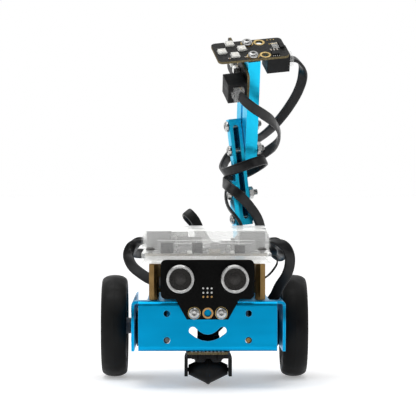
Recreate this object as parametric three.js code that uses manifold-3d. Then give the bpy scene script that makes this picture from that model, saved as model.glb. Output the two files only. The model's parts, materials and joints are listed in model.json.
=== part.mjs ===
// Two-wheeled classroom robot: folded aluminium chassis, two geared motors, a roller caster,
// a cased controller on four standoffs, an ultrasonic sensor, a line follower, and a bolted
// beam mast that carries a light board and a light sensor. Millimetres, +Z up, front at -Y.
// Inside the robot group x is measured from the chassis centre, y from the chassis front face
// and z from the floor. The group is then moved so that the origin is at the bottom centre.

import * as THREE from 'three';
import { mergeVertices } from 'three/addons/utils/BufferGeometryUtils.js';
import Module from 'manifold-3d';

// ---------- driving dimensions ----------

const BOX_CENTRE = { x: -1.85, y: 58.5 };   // middle of the rigid parts' box in the chassis frame
const GAP = 0.3;                            // clearance between neighbouring pieces

const WHEEL = { radius: 32.5, width: 16, seat: 26, leftX: -58.9, rightX: 55.2 };
const AXLE = { y: 82, z: 32.5, radius: 2.7 };

const SHEET = 1.8;                          // chassis sheet thickness
const CHASSIS = { half: 46.5, length: 118, bottom: 22.6, top: 52.8, plateHalf: 41.7, bend: 3 };
const FACE_X = -0.5;                        // middle of the front plate and of its openings
const FLANGE_IN = CHASSIS.half - SHEET;
const LIP_DEPTH = 20;
const WINDOW = { inner: 37, from: 14 };     // the deck is narrower behind `from`
const REAR_PLATE = { half: 34, bottom: 34, linkTop: 45 };
const SMILE = { half: 8.95, z: 35, lobe: 2.4, outerDrop: 6.75, innerDrop: 2 };

const STUD = { flats: 6, x: -0.8, half: 32, ys: [8, 90] };
const CASE = { x: -1.2, width: 78.5, y0: 3, y1: 96, bottom: 75.2, split: 81.2, top: 96.2 };
const BAY = { x0: -30.8, x1: 28.2, depth: 9, top: 89 };
const WALL = 1.8;
const NOTCH = { x: 1.5, topHalf: 16, baseHalf: 11.5, base: 89.5, depth: 5 };
const PCB = 1.6;                            // circuit board thickness
const MAINBOARD_Z = 79.6;
const BUTTON = { x: 3.7, y: 8.5 };
const REAR_OPENINGS = [[-24.5, -11.5, 93.2], [9.5, 18.5, 87]];   // x from, x to, top: USB, switch
const PORT = { wide: 13, deep: 15, high: 12.4, frontY: 37, rearY: 62 };

const EYE = { radius: 8.2, length: 12, z: 66.5, leftX: -16.9, rightX: 15.5 };
const EYE_BOARD = { x: -0.7, front: -3.5, top: 77.7, shoulder: 54.2, bottom: 42 };
const EYE_SCREWS = { xs: [-8.6, 7.6], z: 45.8 };

const CASTER = { y: 28, z: 9.2, radius: 9.2, half: 12, endRadius: 3.1 };
const CASTER_SCREWS = [-5, 5];
const FRAME = { half: 14.5, wall: 2.1, bottom: 5.7, top: 20.2, y0: 20, y1: 36 };
const FOLLOWER = { x: -0.6, half: 12.3, y0: 2, y1: 53, bottom: 20.5 };

const MAST = { x: 21.5, y: 109.5, z: 130.7, yaw: 11.5, roll: 6.3 };   // middle of the middle beam
const TILT = { lower: 3, middle: -2.3, upper: 33.4 };               // degrees forward
const UPPER_ROLL = 0.4;                                             // upper beam, degrees more
const BEAM = 8;                                                     // beam thickness
const MIDDLE = { bottom: -34.5, top: 35, lowerJoint: -22, upperJoint: 22.5 };
const UPPER = { depth: 24, bottom: -15, top: 61.8, setBack: 3, washer: 0.5 };
const LOWER = { thick: 3, depth: 12, bottom: -50.5, top: 17 };
const BOLT_PITCH = 16;
const BRACKET = { thick: 2, foot: 18, tab: 24, half: 6, spare: 0.4, boltZ: [-44, -34] };
const SENSOR = { long: 51, wide: 24 };                              // light sensor board
const LAMP_BOARD = { long: 46.5, wide: 24 };                        // light board on the beam's end

const M4 = { shank: 1.95, hole: 2.3, head: 3.55, headHeight: 2.2, nutFlats: 7, nut: 3.2 };
const CORD = { radius: 2, sides: 8 };
const LEAD = { radius: 1, y: 51, z: 78.4 };          // battery lead where it enters the case

// ---------- solids ----------

const wasm = await Module();
wasm.setup();
const radians = THREE.MathUtils.degToRad;

/** Closed three.js geometry to a manifold solid with its faces pointing out. */
function solid(geometry) {
  const bare = geometry.clone();
  bare.deleteAttribute('normal');
  bare.deleteAttribute('uv');
  const merged = mergeVertices(bare, 1e-4);
  const source = merged.index.array;
  const triangles = [];
  for (let i = 0; i < source.length; i += 3) {
    const [a, b, c] = [source[i], source[i + 1], source[i + 2]];
    if (a !== b && b !== c && c !== a) triangles.push(a, b, c);
  }
  const vertProperties = Float32Array.from(merged.attributes.position.array);
  const make = (triVerts) => new wasm.Manifold(new wasm.Mesh({ numProp: 3, vertProperties, triVerts }));
  const result = make(Uint32Array.from(triangles));
  return result.volume() > 0 ? result : make(Uint32Array.from(triangles.reverse()));
}

/** Manifold solid back to a three.js geometry. */
function geometryOf(body) {
  const { vertProperties, triVerts } = body.getMesh();
  const geometry = new THREE.BufferGeometry();
  geometry.setAttribute('position', new THREE.BufferAttribute(vertProperties, 3));
  geometry.setIndex(new THREE.BufferAttribute(triVerts, 1));
  geometry.computeVertexNormals();
  return geometry;
}

const union = (...bodies) => bodies.reduce((sum, body) => sum.add(body));
const cut = (body, ...tools) => tools.reduce((rest, tool) => rest.subtract(tool), body);

function block([x0, x1], [y0, y1], [z0, z1]) {
  const box = new THREE.BoxGeometry(x1 - x0, y1 - y0, z1 - z0);
  return solid(box.translate((x0 + x1) / 2, (y0 + y1) / 2, (z0 + z1) / 2));
}

// Bases that turn a geometry made along +Z (or a shape drawn in x, y) to another axis.
const ALONG = {
  x: new THREE.Matrix4().makeBasis(axis('y'), axis('z'), axis('x')),
  y: new THREE.Matrix4().makeBasis(axis('x'), axis('z'), axis('y').negate()),
  z: new THREE.Matrix4(),
};

function axis(name) {
  return new THREE.Vector3(Number(name === 'x'), Number(name === 'y'), Number(name === 'z'));
}

/** Shape drawn across an axis (y,z for x; x,z for y; x,y for z) and extruded along it. */
function prism(shape, along, from, to, curveSegments = 2) {
  const geometry = new THREE.ExtrudeGeometry(shape, { depth: to - from, bevelEnabled: false, curveSegments });
  geometry.applyMatrix4(ALONG[along]);
  const shift = along === 'y' ? to : from;
  return solid(geometry.translate(...axis(along).multiplyScalar(shift).toArray()));
}

/** Cylinder along an axis; centre is the point that its axis passes through. */
function rod(along, radius, from, to, centre, sides = 20) {
  const geometry = new THREE.CylinderGeometry(radius, radius, to - from, sides);
  geometry.rotateX(Math.PI / 2).applyMatrix4(ALONG[along]);
  const place = axis(along).multiplyScalar((from + to) / 2).add(new THREE.Vector3(...centre));
  return solid(geometry.translate(...place.toArray()));
}

/** Lathe of [radius, along] points about the X axis, starting and ending on the axis. */
function turnedX(points, segments) {
  const profile = points.map(([r, h]) => new THREE.Vector2(r, h));
  return solid(new THREE.LatheGeometry(profile, segments).rotateZ(-Math.PI / 2));
}

function polygon(points) {
  return new THREE.Shape(points.map(([a, b]) => new THREE.Vector2(a, b)));
}

function roundedRect(x0, x1, y0, y1, r) {
  const shape = new THREE.Shape();
  shape.moveTo(x0 + r, y0).lineTo(x1 - r, y0).absarc(x1 - r, y0 + r, r, -Math.PI / 2, 0);
  shape.lineTo(x1, y1 - r).absarc(x1 - r, y1 - r, r, 0, Math.PI / 2);
  shape.lineTo(x0 + r, y1).absarc(x0 + r, y1 - r, r, Math.PI / 2, Math.PI);
  shape.lineTo(x0, y0 + r).absarc(x0 + r, y0 + r, r, Math.PI, Math.PI * 1.5);
  return shape;
}

// ---------- scene ----------

const robot = new THREE.Group();
robot.position.set(-BOX_CENTRE.x, -BOX_CENTRE.y, 0);

const finish = (color, roughness, metalness) => ({ color, roughness, metalness });
const BLUE = finish(0x008fc3, 0.35, 0.7);
const RUBBER = finish(0x111213, 0.8, 0);
const BLACK = finish(0x18191a, 0.5, 0);
const CLEAR = finish(0xd7d6d2, 0.2, 0);
const BOARD = finish(0x141414, 0.5, 0.1);
const STEEL = finish(0xb9bcc0, 0.3, 0.9);
const BRASS = finish(0x9c7a3c, 0.35, 0.9);
const CORD_BLACK = finish(0x16171a, 0.6, 0);

function add(name, body, look, parent = robot) {
  const geometry = body.isBufferGeometry ? body : geometryOf(body);
  const mesh = new THREE.Mesh(geometry, new THREE.MeshStandardMaterial(look));
  mesh.name = name;
  parent.add(mesh);
  return mesh;
}

// ---------- chassis ----------

/** Front plate, deck edge and bottom lip as one bent strip, drawn in y, z. */
function frontStrip() {
  const { bottom, top, bend } = CHASSIS;
  const inner = bend - SHEET;
  const shape = new THREE.Shape();
  shape.moveTo(LIP_DEPTH, bottom).lineTo(bend, bottom);
  shape.absarc(bend, bottom + bend, bend, -Math.PI / 2, -Math.PI, true);
  shape.lineTo(0, top - bend).absarc(bend, top - bend, bend, Math.PI, Math.PI / 2, true);
  shape.lineTo(LIP_DEPTH, top).lineTo(LIP_DEPTH, top - SHEET).lineTo(bend, top - SHEET);
  shape.absarc(bend, top - bend, inner, Math.PI / 2, Math.PI, false);
  shape.lineTo(SHEET, bottom + bend).absarc(bend, bottom + bend, inner, Math.PI, Math.PI * 1.5, false);
  shape.lineTo(LIP_DEPTH, bottom + SHEET);
  return prism(shape, 'x', FACE_X - CHASSIS.plateHalf, FACE_X + CHASSIS.plateHalf);
}

/** Deck and both side flanges as one bent channel, drawn in x, z. */
function channel() {
  const { half, bottom, top, bend, length } = CHASSIS;
  const inner = bend - SHEET;
  const shape = new THREE.Shape();
  shape.moveTo(-half, bottom - 1).lineTo(-half, top - bend);
  shape.absarc(-half + bend, top - bend, bend, Math.PI, Math.PI / 2, true);
  shape.lineTo(half - bend, top).absarc(half - bend, top - bend, bend, Math.PI / 2, 0, true);
  shape.lineTo(half, bottom - 1).lineTo(FLANGE_IN, bottom - 1).lineTo(FLANGE_IN, top - bend);
  shape.absarc(half - bend, top - bend, inner, 0, Math.PI / 2, false);
  shape.lineTo(-half + bend, top - SHEET);
  shape.absarc(-half + bend, top - bend, inner, Math.PI / 2, Math.PI, false);
  shape.lineTo(-FLANGE_IN, bottom - 1);
  return prism(shape, 'y', bend, length);
}

/** Side outline of a flange, drawn in y, z: bowed front edge and a raised, rounded rear. */
function flangeOutline() {
  const { bottom, top, length } = CHASSIS;
  const shape = new THREE.Shape();
  shape.moveTo(5, top + 1).lineTo(5, top - 6).quadraticCurveTo(3, 38, 7, bottom - 0.5);
  shape.lineTo(98, bottom - 0.5).quadraticCurveTo(112, 24, length, REAR_PLATE.bottom);
  shape.lineTo(length, top + 1);
  return shape;
}

/** Crescent slot in the front plate, drawn in x, z: two round lobes joined by two arcs. */
function smileOutline() {
  const { half, z, lobe, outerDrop, innerDrop } = SMILE;
  const [left, right] = [FACE_X - half, FACE_X + half];
  const shape = new THREE.Shape();
  shape.moveTo(left + lobe * 0.7, z + lobe * 0.7).absarc(left, z, lobe, Math.PI / 4, Math.PI * 1.2, false);
  shape.quadraticCurveTo(FACE_X, z - 2 * outerDrop + lobe, right + lobe * 0.8, z - lobe * 0.6);
  shape.absarc(right, z, lobe, -Math.PI * 0.2, Math.PI * 0.75, false);
  shape.quadraticCurveTo(FACE_X, z - 2 * innerDrop - lobe, left + lobe * 0.7, z + lobe * 0.7);
  return shape;
}

function chassis() {
  const { half, plateHalf, length, top, bottom } = CHASSIS;
  const outline = flangeOutline();
  let sheet = channel();
  for (const [from, to] of [[-half - 1, -plateHalf], [plateHalf, half + 1]]) {
    const surplus = block([from, to], [-1, length + 1], [bottom - 3, top - SHEET - 1]);
    sheet = sheet.subtract(surplus.subtract(prism(outline, 'x', from - 1, to + 1, 8)));
  }
  sheet = union(sheet, frontStrip());
  const rear = REAR_PLATE;
  const rearPlate = block([-rear.half, rear.half], [length - SHEET, length], [rear.bottom, top - 1]);
  const rearLink = block([-half + 0.5, half - 0.5], [length - SHEET, length], [rear.bottom, rear.linkTop]);
  sheet = union(sheet, rearPlate, rearLink);
  const through = (x, z, radius) => rod('y', radius, -2, 4, [x, 0, z], 12);
  for (const side of [-1, 1]) {
    const [a, b] = [side * WINDOW.inner, side * FLANGE_IN].sort((p, q) => p - q);
    sheet = cut(sheet, block([a, b], [WINDOW.from, length + 1], [top - 4, top + 2]));
    sheet = cut(sheet, rod('x', 5.5, side * 45.6 - 3, side * 45.6 + 3, [0, AXLE.y, AXLE.z], 16));
    for (const z of [45.3, 29.3]) sheet = cut(sheet, through(FACE_X + side * 24.5, z, 2));
    for (const y of STUD.ys) {
      sheet = cut(sheet, rod('z', 2, top - 4, top + 2, [STUD.x + side * STUD.half, y, 0], 12));
    }
  }
  for (const x of CASTER_SCREWS) sheet = cut(sheet, rod('z', M4.hole, bottom - 2, bottom + 4, [x, 14, 0], 12));
  for (const x of EYE_SCREWS.xs) sheet = cut(sheet, through(x, EYE_SCREWS.z, M4.hole));
  return cut(sheet, prism(smileOutline(), 'y', -2, 4, 6));
}

add('chassis', chassis(), BLUE);

// ---------- wheels and drives ----------

/** Tyre ring: a crowned tread with rounded shoulders, open in the middle. */
function tyre() {
  const { radius, width, seat } = WHEEL;
  const half = width / 2;
  const bore = seat + GAP;
  const points = [
    [bore, -half + 1.2], [bore + 1.5, -half], [radius - 4, -half], [radius - 2.2, -half + 0.9],
    [radius - 1.1, -half + 2.6], [radius - 0.3, -half + 5], [radius, 0], [radius - 0.3, half - 5],
    [radius - 1.1, half - 2.6], [radius - 2.2, half - 0.9], [radius - 4, half], [bore + 1.5, half],
    [bore, half - 1.2], [bore, -half + 1.2],
  ];
  return turnedX(points, 36);
}

/** Wheel hub: rim, web with six round windows, and a boss that reaches towards the chassis. */
function hub(inward) {
  const { width, seat } = WHEEL;
  const half = width / 2;
  const rim = cut(rod('x', seat, -half + 1, half - 1, [0, 0, 0], 32), rod('x', seat - 2.5, -half, half, [0, 0, 0], 28));
  const web = rod('x', seat - 1.5, -1.5, 1.5, [0, 0, 0], 28);
  const bossEnd = half + (inward > 0 ? 3.4 : 0);
  const boss = rod('x', 4.5, Math.min(-3, inward > 0 ? -3 : -bossEnd), Math.max(3, inward * bossEnd), [0, 0, 0], 16);
  let body = union(rim, web, boss);
  for (let i = 0; i < 6; i++) {
    const angle = (i * Math.PI) / 3;
    body = cut(body, rod('x', 5.2, -4, 4, [0, 14.2 * Math.cos(angle), 14.2 * Math.sin(angle)], 10));
  }
  return cut(body, rod('x', AXLE.radius + GAP, -half - 6, half + 6, [0, 0, 0], 16));
}

/** Gearbox beside a flange: rounded block with a bore for the output shaft. */
function gearbox(side) {
  const [a, b] = [side * 25.6, side * (FLANGE_IN - GAP)].sort((p, q) => p - q);
  const outline = roundedRect(AXLE.y - 26, AXLE.y + 11, AXLE.z - 11.25, AXLE.z + 11.25, 3);
  const bore = rod('x', AXLE.radius + GAP, a - 1, b + 1, [0, AXLE.y, AXLE.z], 16);
  return cut(prism(outline, 'x', a, b), bore);
}

/** Motor can: round body with two flats and a stepped end boss, in front of its gearbox. */
function motorCan() {
  const can = rod('y', 10, AXLE.y - 54, AXLE.y - 26 - GAP, [0, 0, AXLE.z], 24);
  const flats = block([-7.5, 7.5], [0, AXLE.y], [0, 2 * AXLE.z]);
  return union(can.intersect(flats), rod('y', 3, AXLE.y - 56, AXLE.y - 53, [0, 0, AXLE.z], 12));
}

for (const [name, side, wheelX] of [['left', -1, WHEEL.leftX], ['right', 1, WHEEL.rightX]]) {
  const wheel = new THREE.Group();
  wheel.position.set(wheelX, AXLE.y, AXLE.z);
  robot.add(wheel);
  add(`tyre_${name}`, tyre(), RUBBER, wheel);
  add(`wheel_hub_${name}`, hub(-side), BLACK, wheel);
  const shaftInner = side * 27 - wheelX;
  const shaftOuter = side * 6;
  const shaft = rod('x', AXLE.radius, Math.min(shaftInner, shaftOuter), Math.max(shaftInner, shaftOuter), [0, 0, 0], 16);
  add(`output_shaft_${name}`, shaft, CLEAR, wheel);
  add(`gearbox_${name}`, gearbox(side), BLACK);
  add(`motor_${name}`, motorCan(), STEEL).position.x = side * 35;
}

// ---------- fasteners ----------

/** Button head screw pointing down -Z from its seat at z = 0, with a hex socket. */
function buttonScrew(length) {
  const head = [[0, 0], [M4.head, 0], [M4.head - 0.2, 1.1], [2.3, M4.headHeight], [0, M4.headHeight]];
  const profile = head.map(([r, h]) => new THREE.Vector2(r, h));
  const dome = solid(new THREE.LatheGeometry(profile, 12).rotateX(Math.PI / 2));
  const socket = rod('z', 1.45, 1, 3, [0, 0, 0], 6);
  return union(cut(dome, socket), rod('z', M4.shank, -length, 0.1, [0, 0, 0], 8));
}

/** Screw with its nut; grip is the stack between head and nut. */
function bolt(length, grip) {
  const nut = rod('z', M4.nutFlats / Math.sqrt(3), -grip - M4.nut, -grip, [0, 0, 0], 6);
  return union(buttonScrew(length), nut);
}

const standoffRadius = STUD.flats / Math.sqrt(3);
for (const [row, y] of [['front', STUD.ys[0]], ['rear', STUD.ys[1]]]) {
  for (const [name, side] of [['left', -1], ['right', 1]]) {
    const body = rod('z', standoffRadius, CHASSIS.top + GAP, CASE.bottom - GAP, [0, 0, 0], 6);
    add(`standoff_${row}_${name}`, body, BRASS).position.set(STUD.x + side * STUD.half, y, 0);
  }
}

// ---------- ultrasonic sensor ----------

function eyeBoard() {
  const { x, front, top, shoulder, bottom } = EYE_BOARD;
  const outline = roundedRect(x - 28, x + 28, shoulder, top, 3);
  const lower = polygon([
    [x - 19.2, shoulder + 1], [x - 19.2, shoulder], [x - 12.4, bottom], [x + 12.4, bottom],
    [x + 19.2, shoulder], [x + 19.2, shoulder + 1],
  ]);
  const board = union(prism(outline, 'y', front, front + PCB), prism(lower, 'y', front, front + PCB));
  const hole = (px, radius) => rod('y', radius, front - 1, front + 3, [px, 0, EYE_SCREWS.z], 10);
  return cut(board, hole(EYE_SCREWS.xs[0], M4.hole), hole(EYE_SCREWS.xs[1], M4.hole), hole(-0.5, 2.2));
}

/** Transducer: can with a recessed mesh face, pointing forward. */
function transducer() {
  const back = EYE_BOARD.front - GAP;
  const can = rod('y', EYE.radius, back - EYE.length, back, [0, 0, EYE.z], 28);
  const recess = rod('y', EYE.radius - 2.2, back - EYE.length - 1, back - EYE.length + 1.6, [0, 0, EYE.z], 28);
  return cut(can, recess);
}

/** Socket block for a flat cable plug, open on its +X end, centred across y and z. */
function jack(deep = PORT.deep) {
  const body = block([0, deep], [-PORT.wide / 2, PORT.wide / 2], [0, PORT.high]);
  const mouth = block([deep - 7, deep + 1], [-4.8, 4.8], [2.2, 9.2]);
  return cut(body, mouth, block([deep - 7, deep + 1], [-1.8, 1.8], [9, 10.8]));
}

add('ultrasonic_board', eyeBoard(), BOARD);
add('ultrasonic_emitter', transducer(), STEEL).position.x = EYE.leftX;
add('ultrasonic_receiver', transducer(), STEEL).position.x = EYE.rightX;
const eyeJack = add('ultrasonic_jack', jack(), BLACK);
eyeJack.position.set(7, 5.2, 54.2);
eyeJack.rotation.z = Math.PI;
EYE_SCREWS.xs.forEach((x, i) => {
  const screw = add(`ultrasonic_screw_${i + 1}`, bolt(10, 3.5 + SHEET + GAP), STEEL);
  screw.position.set(x, EYE_BOARD.front - GAP, EYE_SCREWS.z);
  screw.rotation.x = Math.PI / 2;
});

// ---------- line follower and caster ----------

function followerBoard() {
  const { x, half, y0, y1, bottom } = FOLLOWER;
  const board = prism(roundedRect(x - half, x + half, y0, y1, 2.5), 'z', bottom, bottom + PCB);
  const holes = CASTER_SCREWS.map((hx) => rod('z', M4.hole, bottom - 1, bottom + 3, [hx, 14, 0], 12));
  return cut(board, ...holes);
}

/** Caster frame: top plate, two cheeks and a front pad for the fixing screws. */
function casterFrame() {
  const { half, wall, bottom, top, y0, y1 } = FRAME;
  const outer = prism(roundedRect(-half, half, bottom - 4, top, 3.4), 'y', y0, y1);
  const inside = block([-half + wall, half - wall], [y0 - 1, y1 + 1], [0, top - 1.4]);
  const feet = block([-half - 1, half + 1], [y0 - 1, y1 + 1], [0, bottom]);
  const pad = prism(roundedRect(-half + 1, half - 1, 8, 18, 2), 'z', top - 2.6, top);
  const neck = block([-half + 1, half - 1], [17, y0 + 1], [top - 1.4, top]);
  const rear = block([-8, 8], [y1 + 1.5, y1 + 4], [11.5, top]);
  const bridge = block([-half + 1, half - 1], [y1 - 1, y1 + 4], [top - 1.4, top]);
  const frame = union(cut(outer, inside, feet), pad, neck, bridge, rear);
  const holes = CASTER_SCREWS.map((hx) => rod('z', M4.hole, top - 4, top + 1, [hx, 14, 0], 12));
  const pivot = rod('x', 1.6, -half - 1, half + 1, [0, CASTER.y, CASTER.z], 12);
  return cut(frame, ...holes, pivot);
}

/** Double cone roller with a pivot pin at each end. */
function casterRoller() {
  const { radius, half, endRadius } = CASTER;
  const pin = FRAME.half - 0.2;
  const profile = [
    [0, -pin], [1.3, -pin], [1.3, -half], [endRadius, -half], [radius - 0.8, -1.2], [radius, 0],
    [radius - 0.8, 1.2], [endRadius, half], [1.3, half], [1.3, pin], [0, pin],
  ];
  return turnedX(profile, 24);
}

add('line_follower_board', followerBoard(), BOARD);
const followerJack = add('line_follower_jack', jack(), BLACK);
followerJack.position.set(0, 24, FOLLOWER.bottom + PCB + GAP);
followerJack.rotation.z = Math.PI / 2;
add('caster_frame', casterFrame(), BLACK);
add('caster_roller', casterRoller(), BLACK).position.set(0, CASTER.y, CASTER.z);
CASTER_SCREWS.forEach((x, i) => {
  const screw = add(`caster_screw_${i + 1}`, bolt(14, 7.6), STEEL);
  screw.position.set(x, 14, FRAME.top - 2.6 - GAP);
  screw.rotation.x = Math.PI;
});

// ---------- controller case ----------

function caseTray() {
  const { x, width, y0, y1, bottom, split } = CASE;
  const half = width / 2;
  const outer = prism(roundedRect(x - half, x + half, y0, y1, 5), 'z', bottom, split, 3);
  const inner = prism(roundedRect(x - half + 2, x + half - 2, y0 + 2, y1 - 2, 3.5), 'z', bottom + 2, split + 1, 3);
  let tray = cut(outer, inner);
  for (const side of [-1, 1]) {
    for (const y of [PORT.frontY, PORT.rearY]) {
      tray = cut(tray, block([x + side * 38 - 3, x + side * 38 + 3], [y - 7, y + 7], [MAINBOARD_Z + PCB, split + 1]));
    }
    for (const y of STUD.ys) {
      tray = cut(tray, rod('z', 1.7, bottom - 1, bottom + 3, [STUD.x + side * STUD.half, y, 0], 10));
    }
  }
  for (const [from, to] of REAR_OPENINGS) {
    tray = cut(tray, block([from, to], [y1 - 3, y1 + 1], [MAINBOARD_Z + PCB, split + 1]));
  }
  return cut(tray, rod('x', LEAD.radius + GAP, 30, 45, [0, LEAD.y, LEAD.z], 10));
}

/** Cover outline solid, shrunk all round by `inset`: main block and lower front bay. */
function coverForm(inset) {
  const { x, width, y0, y1, split, top } = CASE;
  const half = width / 2 - 1 - inset;
  const floor = split + GAP - (inset ? 2 : 0);
  const mainFront = y0 + BAY.depth + inset;
  const main = prism(roundedRect(x - half, x + half, mainFront, y1 - inset, 6), 'z', floor, top - inset, 3);
  const bay = prism(roundedRect(BAY.x0 + inset, BAY.x1 - inset, y0 + inset, y0 + 30, 3), 'z', floor, BAY.top - inset);
  const flank = prism(roundedRect(x - half, x + half, y0 + inset, y0 + 30, 5), 'z', floor, split + 1.7 - inset);
  const { topHalf, baseHalf, base, depth } = NOTCH;
  const scoop = polygon([
    [NOTCH.x - topHalf - inset, top + 1], [NOTCH.x - baseHalf - inset, base - inset],
    [NOTCH.x + baseHalf + inset, base - inset], [NOTCH.x + topHalf + inset, top + 1],
  ]);
  const notch = prism(scoop, 'y', mainFront - 5, y0 + BAY.depth + depth + inset);
  return union(cut(main, notch), bay, inset ? bay : flank);
}

function caseCover() {
  const { x, split } = CASE;
  let cover = cut(coverForm(0), coverForm(WALL));
  for (const side of [-1, 1]) {
    for (const y of [PORT.frontY, PORT.rearY]) {
      const reach = [x + side * 36 - 5, x + side * 36 + 5];
      cover = cut(cover, block(reach, [y - 7, y + 7], [split - 2, MAINBOARD_Z + PCB + PORT.high + 0.8]));
    }
  }
  for (const [from, to, ceiling] of REAR_OPENINGS) {
    cover = cut(cover, block([from, to], [CASE.y1 - 3, CASE.y1 + 1], [split - 2, ceiling]));
  }
  return cut(cover, rod('z', 4, BAY.top - 4, BAY.top + 2, [BUTTON.x, BUTTON.y, 0], 16));
}

function mainboard() {
  const { x, width, y0, y1 } = CASE;
  const half = width / 2 - 2.5;
  const outline = roundedRect(x - half, x + half, y0 + 2.5, y1 - 2.5, 3);
  const board = prism(outline, 'z', MAINBOARD_Z, MAINBOARD_Z + PCB);
  const switchBody = block(
    [BUTTON.x - 3.5, BUTTON.x + 3.5], [BUTTON.y - 2.9, BUTTON.y + 3.5], [MAINBOARD_Z + 1, MAINBOARD_Z + PCB + 2.8]);
  return union(board, switchBody);
}

add('case_tray', caseTray(), CLEAR);
add('case_cover', caseCover(), CLEAR);
add('mainboard', mainboard(), BOARD);
const boardTop = MAINBOARD_Z + PCB + GAP;
for (const [name, side] of [['left', -1], ['right', 1]]) {
  for (const [row, y] of [['front', PORT.frontY], ['rear', PORT.rearY]]) {
    const port = add(`port_${name}_${row}`, jack(), BLACK);
    port.position.set(CASE.x + side * (CASE.width / 2 - 2.7 - PORT.deep), y, boardTop);
    port.rotation.z = side > 0 ? 0 : Math.PI;
  }
}
add('usb_port', block([-24, -12], [79, 93], [boardTop, boardTop + 11]), STEEL);
const switchSlot = block([10, 18], [87, 93], [boardTop + 1.5, boardTop + 4]);
add('power_switch', cut(block([8, 20], [81, 92], [boardTop, boardTop + 5]), switchSlot), BLACK);
add('power_switch_lever', block([10.4, 12.4], [88, 97.6], [boardTop + 1.8, boardTop + 3.7]), BLACK);
add('battery_holder', union(
  block([-27, 27], [26, 83], [CHASSIS.top + GAP, CHASSIS.top + 3]),
  prism(roundedRect(-27, 27, CHASSIS.top + 2, CHASSIS.top + 17, 6), 'y', 29, 80, 3),
), BLACK);
const buttonPlace = [BUTTON.x, BUTTON.y, 0];
add('user_button', rod('z', 2.6, boardTop + 3.1, boardTop + 6.4, buttonPlace, 16), STEEL);

// ---------- mast ----------

const mast = new THREE.Group();
mast.position.set(MAST.x, MAST.y, MAST.z);
mast.rotation.set(0, radians(-MAST.roll), radians(MAST.yaw), 'ZYX');
robot.add(mast);

const tilted = (degrees) => (y, z) => new THREE.Vector3(0, y, z).applyAxisAngle(axis('x'), radians(degrees));
const alongMiddle = tilted(TILT.middle);
const alongUpper = tilted(TILT.upper);
const lowerJoint = alongMiddle(0, MIDDLE.lowerJoint);
const upperJoint = alongMiddle(0, MIDDLE.upperJoint);

function mastGroup(place, tilt, roll = 0) {
  const group = new THREE.Group();
  group.position.copy(place);
  group.rotation.set(radians(tilt), radians(-roll), 0, 'XYZ');
  mast.add(group);
  return group;
}

const bolts = (centre, step) => [centre.clone().sub(step), centre.clone().add(step)];
const halfPitch = alongMiddle(0, BOLT_PITCH / 2);
const lowerBolts = bolts(lowerJoint, halfPitch);
const upperBolts = bolts(upperJoint, halfPitch);

/** Removes bolt holes given in the mast frame from a body drawn in a group's frame. */
function drilled(body, group, points) {
  group.updateWorldMatrix(true, false);
  const toGroup = group.matrixWorld.clone().invert().multiply(mast.matrixWorld);
  const tools = points.map((point) => {
    const tool = new THREE.CylinderGeometry(M4.hole, M4.hole, 60, 10).rotateZ(Math.PI / 2);
    return solid(tool.translate(point.x, point.y, point.z).applyMatrix4(toGroup));
  });
  return cut(body, ...tools);
}

/** Slot tool with round ends, seen along y, running along z. */
function slotTool(width, from, to, y0, y1) {
  return prism(roundedRect(-width / 2, width / 2, from, to, width / 2 - 0.01), 'y', y0, y1, 3);
}

const middleGroup = mastGroup(new THREE.Vector3(), TILT.middle);
const middleBar = block([-BEAM / 2, BEAM / 2], [-BEAM / 2, BEAM / 2], [MIDDLE.bottom, MIDDLE.top]);
const middleSlot = slotTool(3.5, MIDDLE.bottom + 4, MIDDLE.top - 4, -BEAM, 1.5);
const middleBody = drilled(cut(middleBar, middleSlot), middleGroup, [...lowerBolts, ...upperBolts]);
add('mast_beam_middle', middleBody, BLUE, middleGroup);

const upperX = BEAM + UPPER.washer;
const upperPlace = upperJoint.clone().add(alongUpper(UPPER.setBack, 0)).setX(upperX);
const upperGroup = mastGroup(upperPlace, TILT.upper, UPPER_ROLL);
const halfDepth = UPPER.depth / 2;
const upperBar = block([-BEAM / 2, BEAM / 2], [-halfDepth, halfDepth], [UPPER.bottom, UPPER.top]);
const groove = (side) => block(
  [side * BEAM / 2 - 1.2, side * BEAM / 2 + 1.2], [-1.8, 1.8], [UPPER.bottom + 4, UPPER.top - 4]);
const endHoles = [-8, 8].map((y) => rod('z', M4.hole, UPPER.top - 10, UPPER.top + 1, [0, y, 0], 12));
const sensorHoles = [-8, 8].map((y) => rod('x', M4.hole, -5, 5, [0, y, 44], 12));
const upperBody = drilled(cut(upperBar, groove(-1), groove(1), ...endHoles, ...sensorHoles), upperGroup, upperBolts);
add('mast_beam_upper', upperBody, BLUE, upperGroup);

const lowerX = -(BEAM + LOWER.thick) / 2 - GAP;
const lowerGroup = mastGroup(lowerJoint.clone().setX(lowerX), TILT.lower);
const lowerOutline = roundedRect(-LOWER.depth / 2, LOWER.depth / 2, LOWER.bottom, LOWER.top, 2.5);
const lowerBar = prism(lowerOutline, 'x', -LOWER.thick / 2, LOWER.thick / 2);
const bracketBolts = BRACKET.boltZ.map((z) => tilted(TILT.lower)(0, z).add(lowerGroup.position));
const lowerBody = drilled(lowerBar, lowerGroup, [...lowerBolts, ...bracketBolts]);
add('mast_plate_lower', lowerBody, BLUE, lowerGroup);

lowerBolts.forEach((point, i) => {
  const screw = add(`mast_bolt_lower_${i + 1}`, bolt(18, BEAM + LOWER.thick + 3 * GAP), STEEL, mast);
  screw.position.copy(point).setX(lowerX - LOWER.thick / 2 - GAP);
  screw.rotation.y = -Math.PI / 2;
});
upperBolts.forEach((point, i) => {
  const screw = add(`mast_bolt_upper_${i + 1}`, bolt(22.5, 2 * BEAM + UPPER.washer + 1), STEEL, mast);
  screw.position.copy(point).setX(-BEAM / 2 - GAP);
  screw.rotation.y = -Math.PI / 2;
});

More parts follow.
